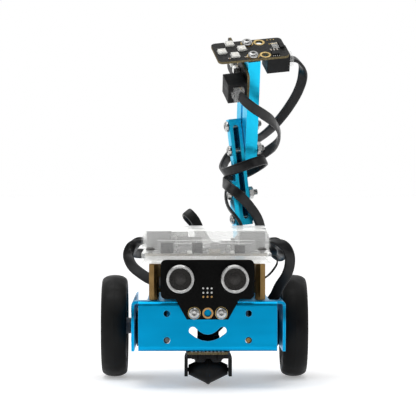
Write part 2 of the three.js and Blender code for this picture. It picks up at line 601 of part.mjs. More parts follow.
/** Bracket on the deck: foot and a tab that leans with the mast, drawn in x, z. */
function bracket() {
  const { thick, foot, tab, half } = BRACKET;
  const lean = Math.tan(radians(MAST.roll));
  const outline = polygon([
    [-foot, 0], [thick, 0], [thick - lean * tab, tab], [-lean * tab, tab], [-lean * thick, thick], [-foot, thick],
  ]);
  return cut(prism(outline, 'y', -half, half), rod('z', M4.hole, -1, thick + 1, [-foot / 2 - 2, 0, 0], 12));
}

const tabReach = LOWER.thick / 2 + BRACKET.spare + BRACKET.thick;
robot.updateMatrixWorld(true);
const foot = robot.worldToLocal(lowerGroup.localToWorld(new THREE.Vector3(-tabReach, 0, LOWER.bottom)));
const bracketGroup = new THREE.Group();
bracketGroup.position.set(foot.x, foot.y, CHASSIS.top + GAP);
bracketGroup.rotation.z = radians(MAST.yaw);
robot.add(bracketGroup);
add('mast_bracket', drilled(bracket(), bracketGroup, bracketBolts), BLUE, bracketGroup);
BRACKET.boltZ.forEach((z, i) => {
  const grip = LOWER.thick / 2 + tabReach + 3 * GAP;
  const screw = add(`bracket_screw_${i + 1}`, bolt(12, grip), STEEL, lowerGroup);
  screw.position.set(LOWER.thick / 2 + GAP, 0, z);
  screw.rotation.y = Math.PI / 2;
});

// ---------- boards on the mast ----------

/** Small board with rounded corners, drawn in x, y, its top at z = PCB. */
function smallBoard({ long, wide }, holes) {
  const board = prism(roundedRect(-long / 2, long / 2, -wide / 2, wide / 2, 3), 'z', 0, PCB);
  return cut(board, ...holes.map(([x, y]) => rod('z', M4.hole, -1, 3, [x, y, 0], 12)));
}

upperGroup.updateMatrix();
const headPlace = new THREE.Vector3(0, 0, UPPER.top + 2 * GAP).applyMatrix4(upperGroup.matrix);
const lightGroup = mastGroup(headPlace, TILT.upper);
add('light_board', smallBoard(LAMP_BOARD, [[0, -8], [0, 8], [8, -8], [8, 8]]), BOARD, lightGroup);
const lightJack = add('light_board_jack', jack(), BLACK, lightGroup);
lightJack.position.set(LAMP_BOARD.long / 2 + 1.5 - PORT.deep, -1.5, -PORT.high - GAP);
[-8, 8].forEach((y, i) => {
  const screw = add(`light_board_screw_${i + 1}`, buttonScrew(8), STEEL, lightGroup);
  screw.position.set(0, y, PCB + GAP);
});

const sensorGroup = new THREE.Group();
sensorGroup.position.set(-BEAM / 2 - GAP, 8, 44);
sensorGroup.setRotationFromMatrix(new THREE.Matrix4().makeBasis(axis('y'), axis('z').negate(), axis('x').negate()));
upperGroup.add(sensorGroup);
add('light_sensor_board', smallBoard(SENSOR, [[0, 0], [-16, 0]]), BOARD, sensorGroup);
const sensorJack = add('light_sensor_jack', jack(), BLACK, sensorGroup);
sensorJack.position.set(-SENSOR.long / 2 - 1.5 + PORT.deep, 0, PCB + GAP);
sensorJack.rotation.z = Math.PI;

// ---------- cables ----------

/** Cable tube along a smooth curve through points of the robot frame. */
function cable(points, steps, radius = CORD.radius) {
  const path = new THREE.CatmullRomCurve3(points.map((p) => new THREE.Vector3(...p)), false, 'centripetal');
  const section = new THREE.Shape();
  section.absarc(0, 0, radius, 0, Math.PI * 2, false);
  return new THREE.ExtrudeGeometry(section, {
    steps, extrudePath: path, bevelEnabled: false, curveSegments: CORD.sides / 2,
  });
}

// Light board jack, down and twice round the mast, behind the case, to the rear right port.
const lightRoute = [
  [45.8, 85.5, 202.8], [51.6, 86.7, 203.4], [57.2, 88.3, 203], [61, 91.5, 199.3], [62, 96, 192.6],
  [59.5, 101.8, 183.6], [53.5, 108.5, 173], [45.8, 116, 163], [38.5, 127, 156], [31, 136.5, 151.5],
  [23, 141, 147], [15.5, 136, 142], [11.6, 127.5, 136], [10.6, 118, 131.8], [12.2, 109, 130.6],
  [16.8, 103, 132], [23.5, 101, 134.5], [30.5, 102, 137], [37, 107.5, 138.8], [38.3, 115, 138],
  [34.5, 122, 135], [27.5, 125, 131], [19.5, 123, 128], [13.2, 117, 125.5], [11.4, 109.5, 124],
  [12.8, 102.3, 122.6], [15, 96, 120.6], [20.6, 93, 116.2], [27.5, 96.5, 109], [33, 100.5, 101], [35.5, 105, 93.5],
  [38, 105.5, 86.5], [42.5, 101, 80], [46.5, 91, 76.4], [48, 79, 78.4], [46.4, 69, 83.6],
  [42.5, 63.2, 86.6], [35.4, 62, 87.2], [29.2, 62, 87.2],
];

// Light sensor jack, once round the mast, over the case's rear edge, to the rear left port.
const sensorRoute = [
  [18.5, 76.2, 183.3], [19.8, 71.8, 180.3], [22.6, 67.4, 176.6], [28.5, 67, 171.6], [35.8, 73.5, 167.2],
  [42.2, 84, 163], [46.3, 96, 158], [47.2, 107, 153], [45, 118, 148.6], [40, 128, 144.5],
  [32, 135.5, 139.5], [23, 137, 133.5], [16.5, 132, 127], [13.4, 123.5, 120], [12.8, 115, 113.8],
  [14, 107, 108.6], [16, 101, 105.4], [19.4, 98.4, 101.5], [22.2, 98.6, 96.5], [22, 99.1, 90.5],
  [17.5, 100.8, 84], [9, 101.8, 80.5], [1, 103, 84], [-4, 104, 92], [-8, 105, 100], [-12.6, 107.5, 104.8],
  [-13, 112.5, 102.6], [-9, 116.5, 96.5], [-6.5, 117.5, 89], [-11, 116.5, 82.2], [-22, 112.5, 79],
  [-33, 107, 78], [-41, 98.5, 78], [-46, 88.5, 78.8], [-47.8, 78.5, 80.8], [-46.4, 69.5, 84.4], [-42.5, 63.4, 86.8],
  [-37.7, 62, 87.2], [-31.5, 62, 87.2],
];

// Front left port, outward and down past the front left standoff, to the ultrasonic sensor.
const ultrasonicRoute = [
  [-31.5, 37, 87.2], [-37.7, 37, 87.2], [-43.5, 36, 86.6], [-47.6, 33.5, 84], [-49, 30.5, 79],
  [-46.5, 27, 73], [-41, 23, 68.4], [-35, 18.5, 65], [-27, 13, 62.8], [-19, 8.5, 60.6],
  [-12, 5.6, 59.9], [-8, 5.2, 59.9], [-1.8, 5.2, 59.9],
];

// Front right port, outward and down through the deck window, over the motor, to the follower.
const followerRoute = [
  [29.2, 37, 87.2], [35.4, 37, 87.2], [42, 36.5, 87.2], [47.2, 36, 85], [50.2, 36, 80], [50.6, 37, 73.5],
  [48.6, 38.5, 66.5], [44.6, 41.5, 60], [41.2, 46, 52.6], [36.4, 50.5, 47.6], [28, 56, 46.8],
  [20, 61, 43.5], [12, 64, 38.5], [5.5, 62.5, 32.5], [1.8, 56.5, 29], [0.3, 48, 28.1], [0, 39, 28.1],
  [0, 33, 28.1],
];

// Battery holder's right end, outward and up, into the case beside the front port.
const batteryRoute = [
  [27.4, 60, 62], [32, 58.8, 62.2], [37, 57, 64.8], [41, 54.5, 69], [43.6, 52.3, 74], [42.6, 51, 77.6],
  [38.5, 51, 78.4], [34, 51, 78.4],
];

add('cable_light_board', cable(lightRoute, 54), CORD_BLACK);
add('cable_light_sensor', cable(sensorRoute, 50), CORD_BLACK);
add('cable_ultrasonic', cable(ultrasonicRoute, 18), CORD_BLACK);
add('cable_line_follower', cable(followerRoute, 22), CORD_BLACK);
add('battery_lead', cable(batteryRoute, 16, LEAD.radius), CORD_BLACK);

export default robot;
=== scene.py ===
"""Looks of the two-wheeled classroom robot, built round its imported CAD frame. Metres, +Z up, front at -Y."""

import json
from math import cos, pi, radians, sin, tau

import bmesh
import bpy
import numpy as np
from mathutils import Matrix, Vector


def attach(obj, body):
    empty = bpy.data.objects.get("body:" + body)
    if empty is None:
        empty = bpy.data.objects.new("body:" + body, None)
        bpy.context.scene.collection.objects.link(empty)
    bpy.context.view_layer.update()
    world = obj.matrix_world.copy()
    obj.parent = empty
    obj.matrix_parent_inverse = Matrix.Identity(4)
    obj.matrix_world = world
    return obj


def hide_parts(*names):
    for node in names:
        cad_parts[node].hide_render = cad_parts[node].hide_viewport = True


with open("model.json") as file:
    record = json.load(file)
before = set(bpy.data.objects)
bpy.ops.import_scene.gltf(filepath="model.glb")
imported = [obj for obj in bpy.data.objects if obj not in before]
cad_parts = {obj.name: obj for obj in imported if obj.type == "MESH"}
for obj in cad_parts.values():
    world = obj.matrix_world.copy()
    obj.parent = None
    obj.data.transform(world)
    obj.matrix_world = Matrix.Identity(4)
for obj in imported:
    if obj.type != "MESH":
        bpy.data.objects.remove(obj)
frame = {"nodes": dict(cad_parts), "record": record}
bpy.context.view_layer.update()

MM = 0.001
BODY_OF = {
    node: body
    for body, nodes in frame["record"]["behaviour"]["bodies"].items()
    for node in nodes
}

# ---------- turned frames of the mast and its boards ----------

def turn(axis, degrees):
    return Matrix.Rotation(radians(degrees), 3, axis)


# The mast leans and turns as a whole, and each of its parts has its own tilt.
LEVEL = Matrix.Identity(3)
MAST = turn("Z", 11.5) @ turn("Y", -6.3)
MIDDLE = MAST @ turn("X", -2.3)
UPPER = MAST @ turn("X", 33.4) @ turn("Y", -0.4)
LOWER = MAST @ turn("X", 3)
LIGHT = MAST @ turn("X", 33.4)
SENSOR = UPPER @ Matrix(((0, 0, -1), (1, 0, 0), (0, -1, 0)))
BACK = turn("Z", 180)            # turns +X to -X
REARWARD = turn("Z", 90)         # turns +X to +Y
ALONG_X = turn("Y", 90)          # turns +Z to +X
AGAINST_X = turn("Y", -90)       # turns +Z to -X
FORWARD = turn("X", 90)          # turns +Z to -Y, the robot's front
BACKWARD = turn("X", -90)        # turns +Z to +Y
UPSIDE_DOWN = turn("X", 180)

CHASSIS_ORIGIN = Vector((1.85, -58.5, 0)) * MM      # middle of the chassis at its front face, on the floor


def at(x, y, z):
    """A place in millimetres from the chassis origin, in the row frame."""
    return CHASSIS_ORIGIN + Vector((x, y, z)) * MM


def corners(node, frame_turn=LEVEL):
    """Lowest and highest corner of a CAD node measured along a turned frame's axes."""
    back = frame_turn.transposed()
    places = [back @ vertex.co for vertex in frame["nodes"][node].data.vertices]
    return (Vector(map(min, zip(*places))), Vector(map(max, zip(*places))))


# ---------- node materials ----------

COLOUR_A, COLOUR_B, COLOUR_OUT = 6, 7, 2            # a Mix node's sockets when it mixes colours


class Look:
    """A Principled material whose colour, roughness and bump come from nodes in object space."""

    def __init__(self, name, colour, roughness, metallic=0.0, coat=0.0):
        self.material = bpy.data.materials.new(name)
        self.material.use_nodes = True
        self.tree = self.material.node_tree
        self.shader = self.tree.nodes["Principled BSDF"]
        self.place = self.node("ShaderNodeTexCoord").outputs["Object"]
        self.set(self.shader, "Base Color", (*colour, 1))
        self.set(self.shader, "Roughness", roughness)
        self.set(self.shader, "Metallic", metallic)
        self.set(self.shader, "Coat Weight", coat)
        self.set(self.shader, "Coat Roughness", 0.12)
        self.heights = []

    def node(self, kind, **settings):
        made = self.tree.nodes.new(kind)
        for key, value in settings.items():
            setattr(made, key, value)
        return made

    def set(self, node, socket, value):
        """Gives a socket a value, or links another node's output to it."""
        if isinstance(value, bpy.types.NodeSocket):
            self.tree.links.new(value, node.inputs[socket])
        else:
            node.inputs[socket].default_value = value

    def noise(self, size, detail=3.0, stretch=(1, 1, 1)):
        """Noise whose features are about `size` metres, drawn out along an axis by `stretch`."""
        mapping = self.node("ShaderNodeMapping")
        self.set(mapping, "Vector", self.place)
        self.set(mapping, "Scale", [1 / part for part in stretch])
        made = self.node("ShaderNodeTexNoise")
        self.set(made, "Vector", mapping.outputs["Vector"])
        self.set(made, "Scale", 1 / size)
        self.set(made, "Detail", detail)
        return made.outputs["Fac"]

    def maths(self, operation, a, b=0.0):
        made = self.node("ShaderNodeMath", operation=operation)
        self.set(made, 0, a)
        self.set(made, 1, b)
        return made.outputs[0]

    def spread(self, value, low, high, start=0.35, end=0.65):
        """A number from `low` to `high` as value goes from start to end."""
        made = self.node("ShaderNodeMapRange")
        self.set(made, "Value", value)
        for socket, number in (("From Min", start), ("From Max", end), ("To Min", low), ("To Max", high)):
            self.set(made, socket, number)
        return made.outputs["Result"]

    def mixed(self, share, first, second):
        """A colour between first and second; each is a colour or another node's output."""
        made = self.node("ShaderNodeMix", data_type="RGBA")
        self.set(made, 0, share)
        for index, colour in ((COLOUR_A, first), (COLOUR_B, second)):
            self.set(made, index, colour if isinstance(colour, bpy.types.NodeSocket) else (*colour, 1))
        return made.outputs[COLOUR_OUT]

    def colours(self, share, first, second):
        self.set(self.shader, "Base Color", self.mixed(share, first, second))
        return self

    def rough(self, size, low, high, detail=3.0, stretch=(1, 1, 1)):
        self.set(self.shader, "Roughness", self.spread(self.noise(size, detail, stretch), low, high))
        return self

    def bump(self, height, depth, strength=0.4):
        """Adds a bump of `depth` metres over the ones already there."""
        made = self.node("ShaderNodeBump")
        self.set(made, "Strength", strength)
        self.set(made, "Distance", depth)
        self.set(made, "Height", height)
        if self.heights:
            self.set(made, "Normal", self.heights[-1])
        self.heights.append(made.outputs["Normal"])
        self.set(self.shader, "Normal", self.heights[-1])
        return self

    def edges_worn_and_highlit(self, colour, radius, amount=0.6):
        """Blends towards a colour along convex edges: painted highlight on the anodised metal and the cable
        sheath, and paler edges on moulded plastic.
        """
        bevel = self.node("ShaderNodeBevel", samples=4)
        self.set(bevel, "Radius", radius)
        geometry = self.node("ShaderNodeNewGeometry")
        apart = self.node("ShaderNodeVectorMath", operation="DOT_PRODUCT")
        self.set(apart, 0, bevel.outputs["Normal"])
        self.set(apart, 1, geometry.outputs["Normal"])
        share = self.spread(apart.outputs["Value"], amount, 0.0, 0.8, 0.985)
        base = self.shader.inputs["Base Color"]
        before = base.links[0].from_socket if base.links else tuple(base.default_value)[:3]
        return self.colours(share, before, colour)


def anodised(name, colour, streak):
    """Satin blue anodised aluminium: bead-blasted grain, faint rolling streaks, and a paler blue painted along
    its edges and bends as highlight.
    """
    look = Look(name, colour, 0.36, metallic=0.94)
    paler = [min(1.0, part * 1.08) for part in colour]
    look.colours(look.spread(look.noise(0.03, 2), 0, 1), colour, paler)
    look.rough(0.004, 0.30, 0.42, stretch=streak)
    look.bump(look.noise(0.0004, 2), 0.00002, 0.35)
    # The paler blue along the edges is a painted highlight.
    return look.edges_worn_and_highlit((0.18, 0.52, 0.80), 0.0006, 0.55).material


def rubber():
    """Tyre rubber: near black, dusty in patches, with a fine moulded grain."""
    look = Look("tyre_rubber", (0.004, 0.004, 0.004), 0.55)
    look.set(look.shader, "Specular IOR Level", 0.16)
    look.colours(look.spread(look.noise(0.012, 5), 0, 1), (0.0025, 0.0025, 0.003), (0.007, 0.007, 0.0065))
    look.rough(0.006, 0.42, 0.62, 5)
    return look.bump(look.noise(0.0007, 3), 0.00006, 0.5).material


def moulded(name, colour, roughness=0.42, grain=0.0006):
    """Injection-moulded plastic with spark-eroded texture and uneven gloss."""
    look = Look(name, colour, roughness)
    look.set(look.shader, "Specular IOR Level", 0.2 if max(colour) < 0.05 else 0.5)
    paler = [min(1.0, part * 1.35 + 0.003) for part in colour]
    look.colours(look.spread(look.noise(0.009, 4), 0, 0.6), colour, paler)
    look.rough(0.003, roughness - 0.07, roughness + 0.1, 4)
    look.bump(look.noise(grain, 2), 0.00003, 0.35)
    return look.edges_worn_and_highlit([part * 1.8 + 0.01 for part in colour], 0.0004, 0.5).material


def clear_plastic(name, wall, floor, painted_glow):
    """Translucent polycarbonate, painted more opaque on its level faces as the white sheen that grazing light
    gives them, with an emission that paints a white glow.
    """
    look = Look(name, (0.93, 0.935, 0.92), 0.22)
    look.colours(look.spread(look.noise(0.02, 3), 0, 1), (0.90, 0.91, 0.895), (0.97, 0.97, 0.96))
    look.rough(0.01, 0.14, 0.28, 4)
    parts_of_normal = look.node("ShaderNodeSeparateXYZ")
    look.set(parts_of_normal, 0, look.node("ShaderNodeNewGeometry").outputs["Normal"])
    level = look.maths("ABSOLUTE", parts_of_normal.outputs["Z"])
    # Level faces are more opaque: painted white sheen of their grazing reflection.
    look.set(look.shader, "Alpha", look.spread(level, wall, floor, 0.1, 0.9))
    # Painted glow: the plastic gives off white light of its own.
    look.set(look.shader, "Emission Color", (1, 1, 0.985, 1))
    look.set(look.shader, "Emission Strength", painted_glow)
    return look.bump(look.noise(0.0015, 3), 0.00003, 0.25).material


def board(name, axis, colour=(0.002, 0.002, 0.002)):
    """Circuit board: glossy mask over faint tracks on both faces, glass fibre along its edges."""
    look = Look(name, colour, 0.28)
    look.set(look.shader, "Specular IOR Level", 0.08)
    facing = look.node("ShaderNodeVectorMath", operation="DOT_PRODUCT")
    look.set(facing, 0, look.node("ShaderNodeNewGeometry").outputs["Normal"])
    look.set(facing, 1, axis)
    edge = look.spread(look.maths("ABSOLUTE", facing.outputs["Value"]), 1, 0, 0.45, 0.55)
    tracks = look.node("ShaderNodeTexVoronoi", feature="DISTANCE_TO_EDGE", distance="MANHATTAN")
    look.set(tracks, "Vector", look.place)
    look.set(tracks, "Scale", 420)
    copper = look.spread(tracks.outputs["Distance"], 1, 0, 0.05, 0.09)
    mask = look.mixed(copper, colour, [part * 1.7 + 0.001 for part in colour])
    fibre = look.mixed(look.spread(look.noise(0.0008, 4), 0, 1), (0.09, 0.07, 0.035), (0.21, 0.17, 0.09))
    look.colours(edge, mask, fibre)
    look.set(look.shader, "Roughness", look.spread(edge, 0.36, 0.75, 0, 1))
    return look.bump(copper, 0.00002, 0.3).material


def metal(name, colour, roughness, streak=(1, 1, 1), grain=0.0006):
    """Bare or plated metal with machining streaks and slightly uneven tarnish."""
    look = Look(name, colour, roughness, metallic=1.0)
    darker = [part * 0.72 for part in colour]
    look.colours(look.spread(look.noise(0.005, 4), 0, 1), colour, darker)
    look.rough(0.0015, roughness - 0.08, roughness + 0.12, 3, streak)
    return look.bump(look.noise(grain, 2, streak), 0.00002, 0.35).material


def cable_sheath():
    """Soft PVC sheath of the flat cables: satin, and paler along its ridges as a painted highlight."""
    look = Look("cable_black", (0.004, 0.004, 0.0045), 0.34)
    look.set(look.shader, "Specular IOR Level", 0.34)
    look.colours(look.spread(look.noise(0.015, 4), 0, 1), (0.003, 0.003, 0.0035), (0.008, 0.008, 0.0085))
    look.rough(0.004, 0.28, 0.46, 4)
    look.bump(look.noise(0.0009, 3), 0.00005, 0.4)
    return look.edges_worn_and_highlit((0.03, 0.03, 0.032), 0.0005, 0.4).material


def perforated():
    """Dark woven cloth of the transducers' mesh."""
    look = Look("mesh_dark", (0.03, 0.028, 0.026), 0.5, metallic=0.6)
    look.colours(look.spread(look.noise(0.0006, 2), 0, 1), (0.018, 0.017, 0.016), (0.07, 0.066, 0.062))
    return look.bump(look.noise(0.0004, 1), 0.00005, 0.6).material


def glow(name, colour, strength):
    """Lit or lens-like plastic of a light-emitting part, with a faint flow pattern inside."""
    look = Look(name, colour, 0.2, coat=0.6)
    look.colours(look.spread(look.noise(0.0012, 3), 0, 1), colour, [part * 0.82 for part in colour])
    look.set(look.shader, "Subsurface Weight", strength)
    look.set(look.shader, "Subsurface Radius", (0.001, 0.001, 0.001))
    return look.material


LOOKS = {
    # The two blues are lit and shaded copies of one anodised finish: the mast's is painted paler and brighter
    # as light on it, the chassis's a little darker as painted shade.
    "anodised_blue": anodised("anodised_blue", (0.0, 0.33, 0.64), (12, 1, 1)),
    "anodised_mast_painted_light": anodised("anodised_mast_painted_light", (0.012, 0.56, 0.86), (1, 1, 12)),
    # Dark navy: painted shade inside the middle beam's slot.
    "slot_shade_navy": metal("slot_shade_navy", (0.0, 0.045, 0.10), 0.5),
    "tyre_rubber": rubber(),
    "black_plastic": moulded("black_plastic", (0.006, 0.006, 0.0065)),
    "soft_black": moulded("soft_black", (0.004, 0.004, 0.0045), 0.5),
    "white_plastic": moulded("white_plastic", (0.72, 0.72, 0.68), 0.4),
    "clear_plastic": clear_plastic("clear_plastic", 0.22, 0.75, 0.26),
    "clear_plug": clear_plastic("clear_plug", 0.16, 0.22, 0.1),
    "steel": metal("steel", (0.58, 0.58, 0.57), 0.26),
    "dark_steel": metal("dark_steel", (0.17, 0.165, 0.16), 0.4),
    "brass": metal("brass", (0.30, 0.19, 0.075), 0.30, streak=(1, 1, 14)),
    "gold": metal("gold", (0.83, 0.60, 0.24), 0.24),
    "tin": metal("tin", (0.80, 0.80, 0.78), 0.30, grain=0.0003),
    "copper_ring": metal("copper_ring", (0.56, 0.33, 0.13), 0.32),
    "cable_black": cable_sheath(),
    "mesh_dark": perforated(),
    "level_board": board("level_board", (0, 0, 1)),
    "upright_board": board("upright_board", (0, 1, 0), (0.001, 0.001, 0.001)),
    "light_board": board("light_board", LIGHT @ Vector((0, 0, 1)), (0.022, 0.022, 0.021)),
    "sensor_board": board("sensor_board", SENSOR @ Vector((0, 0, 1))),
    "led_lens": glow("led_lens", (0.93, 0.91, 0.84), 0.4),
    "part_tan": moulded("part_tan", (0.30, 0.20, 0.11), 0.5),
    "part_grey": moulded("part_grey", (0.09, 0.095, 0.11), 0.4),
    "motor_white": moulded("motor_white", (0.60, 0.60, 0.56), 0.4),
}

# ---------- mesh tools ----------

def piece(name, shape, look, body="robot_frame", stands_for=(), crease=32):
    """Links a bmesh as a piece that rides on a body; `stands_for` names the CAD nodes it replaces."""
    mesh = bpy.data.meshes.new(name)
    bmesh.ops.recalc_face_normals(shape, faces=shape.faces)
    shape.to_mesh(mesh)
    shape.free()
    mesh.shade_smooth()
    mesh.set_sharp_from_angle(angle=radians(crease))
    mesh.materials.append(LOOKS[look])
    made = bpy.data.objects.new(name, mesh)
    made.modifiers.new("flat_faces", "WEIGHTED_NORMAL").keep_sharp = True
    bpy.context.scene.collection.objects.link(made)
    if stands_for:
        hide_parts(*stands_for)
    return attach(made, body)


def joined(*parts):
    """One bmesh out of several."""
    whole = bmesh.new()
    for part in parts:
        spare = bpy.data.meshes.new("spare")
        part.to_mesh(spare)
        part.free()
        whole.from_mesh(spare)
        bpy.data.meshes.remove(spare)
    return whole


def moved(mesh, place=(0, 0, 0), frame_turn=LEVEL):
    """Turns a bmesh and then shifts it by a vector of the row frame."""
    shift = Matrix.Translation(Vector(place))
    bmesh.ops.transform(mesh, matrix=shift @ frame_turn.to_4x4(), verts=mesh.verts)
    return mesh


def rounded(mesh, width, segments=2, above=40):
    """Rounds the edges that are sharper than an angle in degrees."""
    sharp = [edge for edge in mesh.edges if edge.is_manifold and edge.calc_face_angle() > radians(above)]
    bmesh.ops.bevel(
        mesh, geom=sharp, offset=width, segments=segments, profile=0.6, affect="EDGES", clamp_overlap=True)
    return mesh


def brick(low, high, edge=0.2):
    """Block between two corners in millimetres, with edges rounded by at most 0.3 of its thinnest side."""
    made = bmesh.new()
    bmesh.ops.create_cube(made, size=1)
    low, high = Vector(low) * MM, Vector(high) * MM
    size = high - low
    bmesh.ops.scale(made, vec=size, verts=made.verts)
    bmesh.ops.translate(made, vec=(low + high) / 2, verts=made.verts)
    return rounded(made, min(edge * MM, 0.3 * min(size)))


def spun(rows, sides=48):
    """Rings about Z joined into a skin; a row is (radius, height) or (half flat width, height, "hex")."""
    made = bmesh.new()
    rings = []
    for radius, height, *hexagon in rows:
        if radius == 0:
            rings.append([made.verts.new((0, 0, height))])
            continue
        ring = []
        for step in range(sides):
            angle = tau * step / sides
            reach = radius / cos((angle + pi / 6) % (pi / 3) - pi / 6) if hexagon else radius
            ring.append(made.verts.new((reach * cos(angle), reach * sin(angle), height)))
        rings.append(ring)
    for lower, upper in zip(rings, rings[1:]):
        for step in range(sides):
            after = (step + 1) % sides
            if len(lower) == 1:
                made.faces.new((lower[0], upper[after], upper[step]))
            elif len(upper) == 1:
                made.faces.new((lower[step], lower[after], upper[0]))
            else:
                made.faces.new((lower[step], lower[after], upper[after], upper[step]))
    return made


def refined(node, look, edge, crease=35):
    """Copy of a CAD node with merged faces, rounded edges and smooth shading, which stands for the node."""
    copy = bmesh.new()
    copy.from_mesh(frame["nodes"][node].data)
    bmesh.ops.remove_doubles(copy, verts=copy.verts, dist=1e-6)
    bmesh.ops.dissolve_limit(copy, angle_limit=radians(0.5), verts=copy.verts, edges=copy.edges)
    rounded(copy, edge, above=crease + 10)
    return piece(f"{node}_body", copy, look, BODY_OF[node], [node], crease)


def across(node, mesh, look, place):
    """Piece spun about the X axis at a place, which stands for a CAD node."""
    piece(f"{node}_body", moved(mesh, place, ALONG_X), look, BODY_OF[node], [node])


def ring(rows, sides):
    """Spun skin from rows in millimetres."""
    return spun([(radius * MM, height * MM, *more) for radius, height, *more in rows], sides)


# ---------- camera, floor and light ----------

def camera():
    """Long lens in front of the robot, a little to its side and level with the mast's middle."""
    data = bpy.data.cameras.new("camera")
    data.sensor_width = 36
    data.lens = 171.6
    shot = bpy.data.objects.new("camera", data)
    shot.location = (-0.01245, -1.2455, 0.12165)
    shot.rotation_euler = (radians(89.37), 0, radians(-0.673))
    bpy.context.scene.collection.objects.link(shot)
    bpy.context.scene.camera = shot


def lamp(name, place, size, power, colour=(1, 1, 1)):
    """Square soft box that faces the robot."""
    data = bpy.data.lights.new(name, "AREA")
    data.size = size
    data.energy = power
    data.color = colour
    made = bpy.data.objects.new(name, data)
    made.location = place
    made.rotation_euler = (Vector(place) - Vector((0, 0, 0.09))).to_track_quat("Z", "Y").to_euler()
    bpy.context.scene.collection.objects.link(made)


def surround():
    """World light: white behind and above the robot, dim in front of it."""
    world = bpy.data.worlds.new("studio")
    bpy.context.scene.world = world
    world.use_nodes = True
    tree = world.node_tree
    heading = tree.nodes.new("ShaderNodeSeparateXYZ")
    tree.links.new(tree.nodes.new("ShaderNodeTexCoord").outputs["Generated"], heading.inputs[0])
    strength = tree.nodes.new("ShaderNodeMapRange")
    tree.links.new(heading.outputs["Y"], strength.inputs["Value"])
    for socket, number in (("From Min", -0.5), ("From Max", 0.6), ("To Min", 0.11), ("To Max", 1.0)):
        strength.inputs[socket].default_value = number
    tree.links.new(strength.outputs["Result"], tree.nodes["Background"].inputs["Strength"])
    tree.nodes["Background"].inputs["Color"].default_value = (1, 1, 1, 1)


def plain_floor():
    """Pale floor that glows a little more with distance, so that it has no horizon."""
    grid = bmesh.new()
    bmesh.ops.create_grid(grid, x_segments=1, y_segments=1, size=20)
    mesh = bpy.data.meshes.new("floor")
    grid.to_mesh(mesh)
    grid.free()
    ground = bpy.data.objects.new("floor", mesh)
    look = Look("floor", (0.93, 0.93, 0.935), 0.7)
    look.colours(look.spread(look.noise(0.4, 2), 0, 1), (0.92, 0.92, 0.925), (0.94, 0.94, 0.945))
    look.set(look.shader, "Emission Color", (1, 1, 1, 1))
    reach = look.node("ShaderNodeVectorMath", operation="LENGTH")
    look.set(reach, 0, look.place)
    look.set(look.shader, "Emission Strength", look.spread(reach.outputs["Value"], 0.33, 0.5, 0.4, 2.0))
    mesh.materials.append(look.material)
    bpy.context.scene.collection.objects.link(ground)


camera()
surround()
lamp("top", (-0.2, -0.25, 1.5), 1.2, 11)
lamp("left", (-1.2, -0.9, 0.9), 0.8, 3.6)
lamp("right", (1.2, -0.9, 0.7), 0.8, 1.6)
plain_floor()
bpy.context.scene.view_settings.view_transform = "Standard"

# ---------- cables ----------

RIBBON = {"width": 6.5 * MM, "thick": 2.3 * MM}

# Light board jack, down and twice round the mast, behind the case, to the rear right port.
LIGHT_ROUTE = [
    (45.8, 85.5, 202.8), (51.6, 86.7, 203.4), (57.2, 88.3, 203), (61, 91.5, 199.3), (62, 96, 192.6),
    (59.5, 101.8, 183.6), (53.5, 108.5, 173), (45.8, 116, 163), (38.5, 127, 156), (31, 136.5, 151.5),
    (23, 141, 147), (15.5, 136, 142), (11.6, 127.5, 136), (10.6, 118, 131.8), (12.2, 109, 130.6),
    (16.8, 103, 132), (23.5, 101, 134.5), (30.5, 102, 137), (37, 107.5, 138.8), (38.3, 115, 138),
    (34.5, 122, 135), (27.5, 125, 131), (19.5, 123, 128), (13.2, 117, 125.5), (11.4, 109.5, 124),
    (12.8, 102.3, 122.6), (15, 96, 120.6), (20.6, 93, 116.2), (27.5, 96.5, 109), (33, 100.5, 101),
    (35.5, 105, 93.5), (38, 105.5, 86.5), (42.5, 101, 80), (46.5, 91, 76.4), (48, 79, 78.4),
    (46.4, 69, 83.6), (42.5, 63.2, 86.6), (35.4, 62, 87.2), (29.2, 62, 87.2),
]

# Light sensor jack, once round the mast, over the case's rear edge, to the rear left port.
SENSOR_ROUTE = [
    (18.5, 76.2, 183.3), (19.8, 71.8, 180.3), (22.6, 67.4, 176.6), (28.5, 67, 171.6), (35.8, 73.5, 167.2),
    (42.2, 84, 163), (46.3, 96, 158), (47.2, 107, 153), (45, 118, 148.6), (40, 128, 144.5),
    (32, 135.5, 139.5), (23, 137, 133.5), (16.5, 132, 127), (13.4, 123.5, 120), (12.8, 115, 113.8),
    (14, 107, 108.6), (16, 101, 105.4), (19.4, 98.4, 101.5), (22.2, 98.6, 96.5), (22, 99.1, 90.5),
    (17.5, 100.8, 84), (9, 101.8, 80.5), (1, 103, 84), (-4, 104, 92), (-8, 105, 100), (-12.6, 107.5, 104.8),
    (-13, 112.5, 102.6), (-9, 116.5, 96.5), (-6.5, 117.5, 89), (-11, 116.5, 82.2), (-22, 112.5, 79),
    (-33, 107, 78), (-41, 98.5, 78), (-46, 88.5, 78.8), (-47.8, 78.5, 80.8), (-46.4, 69.5, 84.4),
    (-42.5, 63.4, 86.8), (-37.7, 62, 87.2), (-31.5, 62, 87.2),
]

# Front left port, outward and down past the front left standoff, to the ultrasonic sensor.
ULTRASONIC_ROUTE = [
    (-31.5, 37, 87.2), (-37.7, 37, 87.2), (-43.5, 36, 86.6), (-47.6, 33.5, 84), (-49, 30.5, 79),
    (-46.5, 27, 73), (-41, 23, 68.4), (-35, 18.5, 65), (-27, 13, 62.8), (-19, 8.5, 60.6),
    (-12, 5.6, 59.9), (-8, 5.2, 59.9), (-1.8, 5.2, 59.9),
]

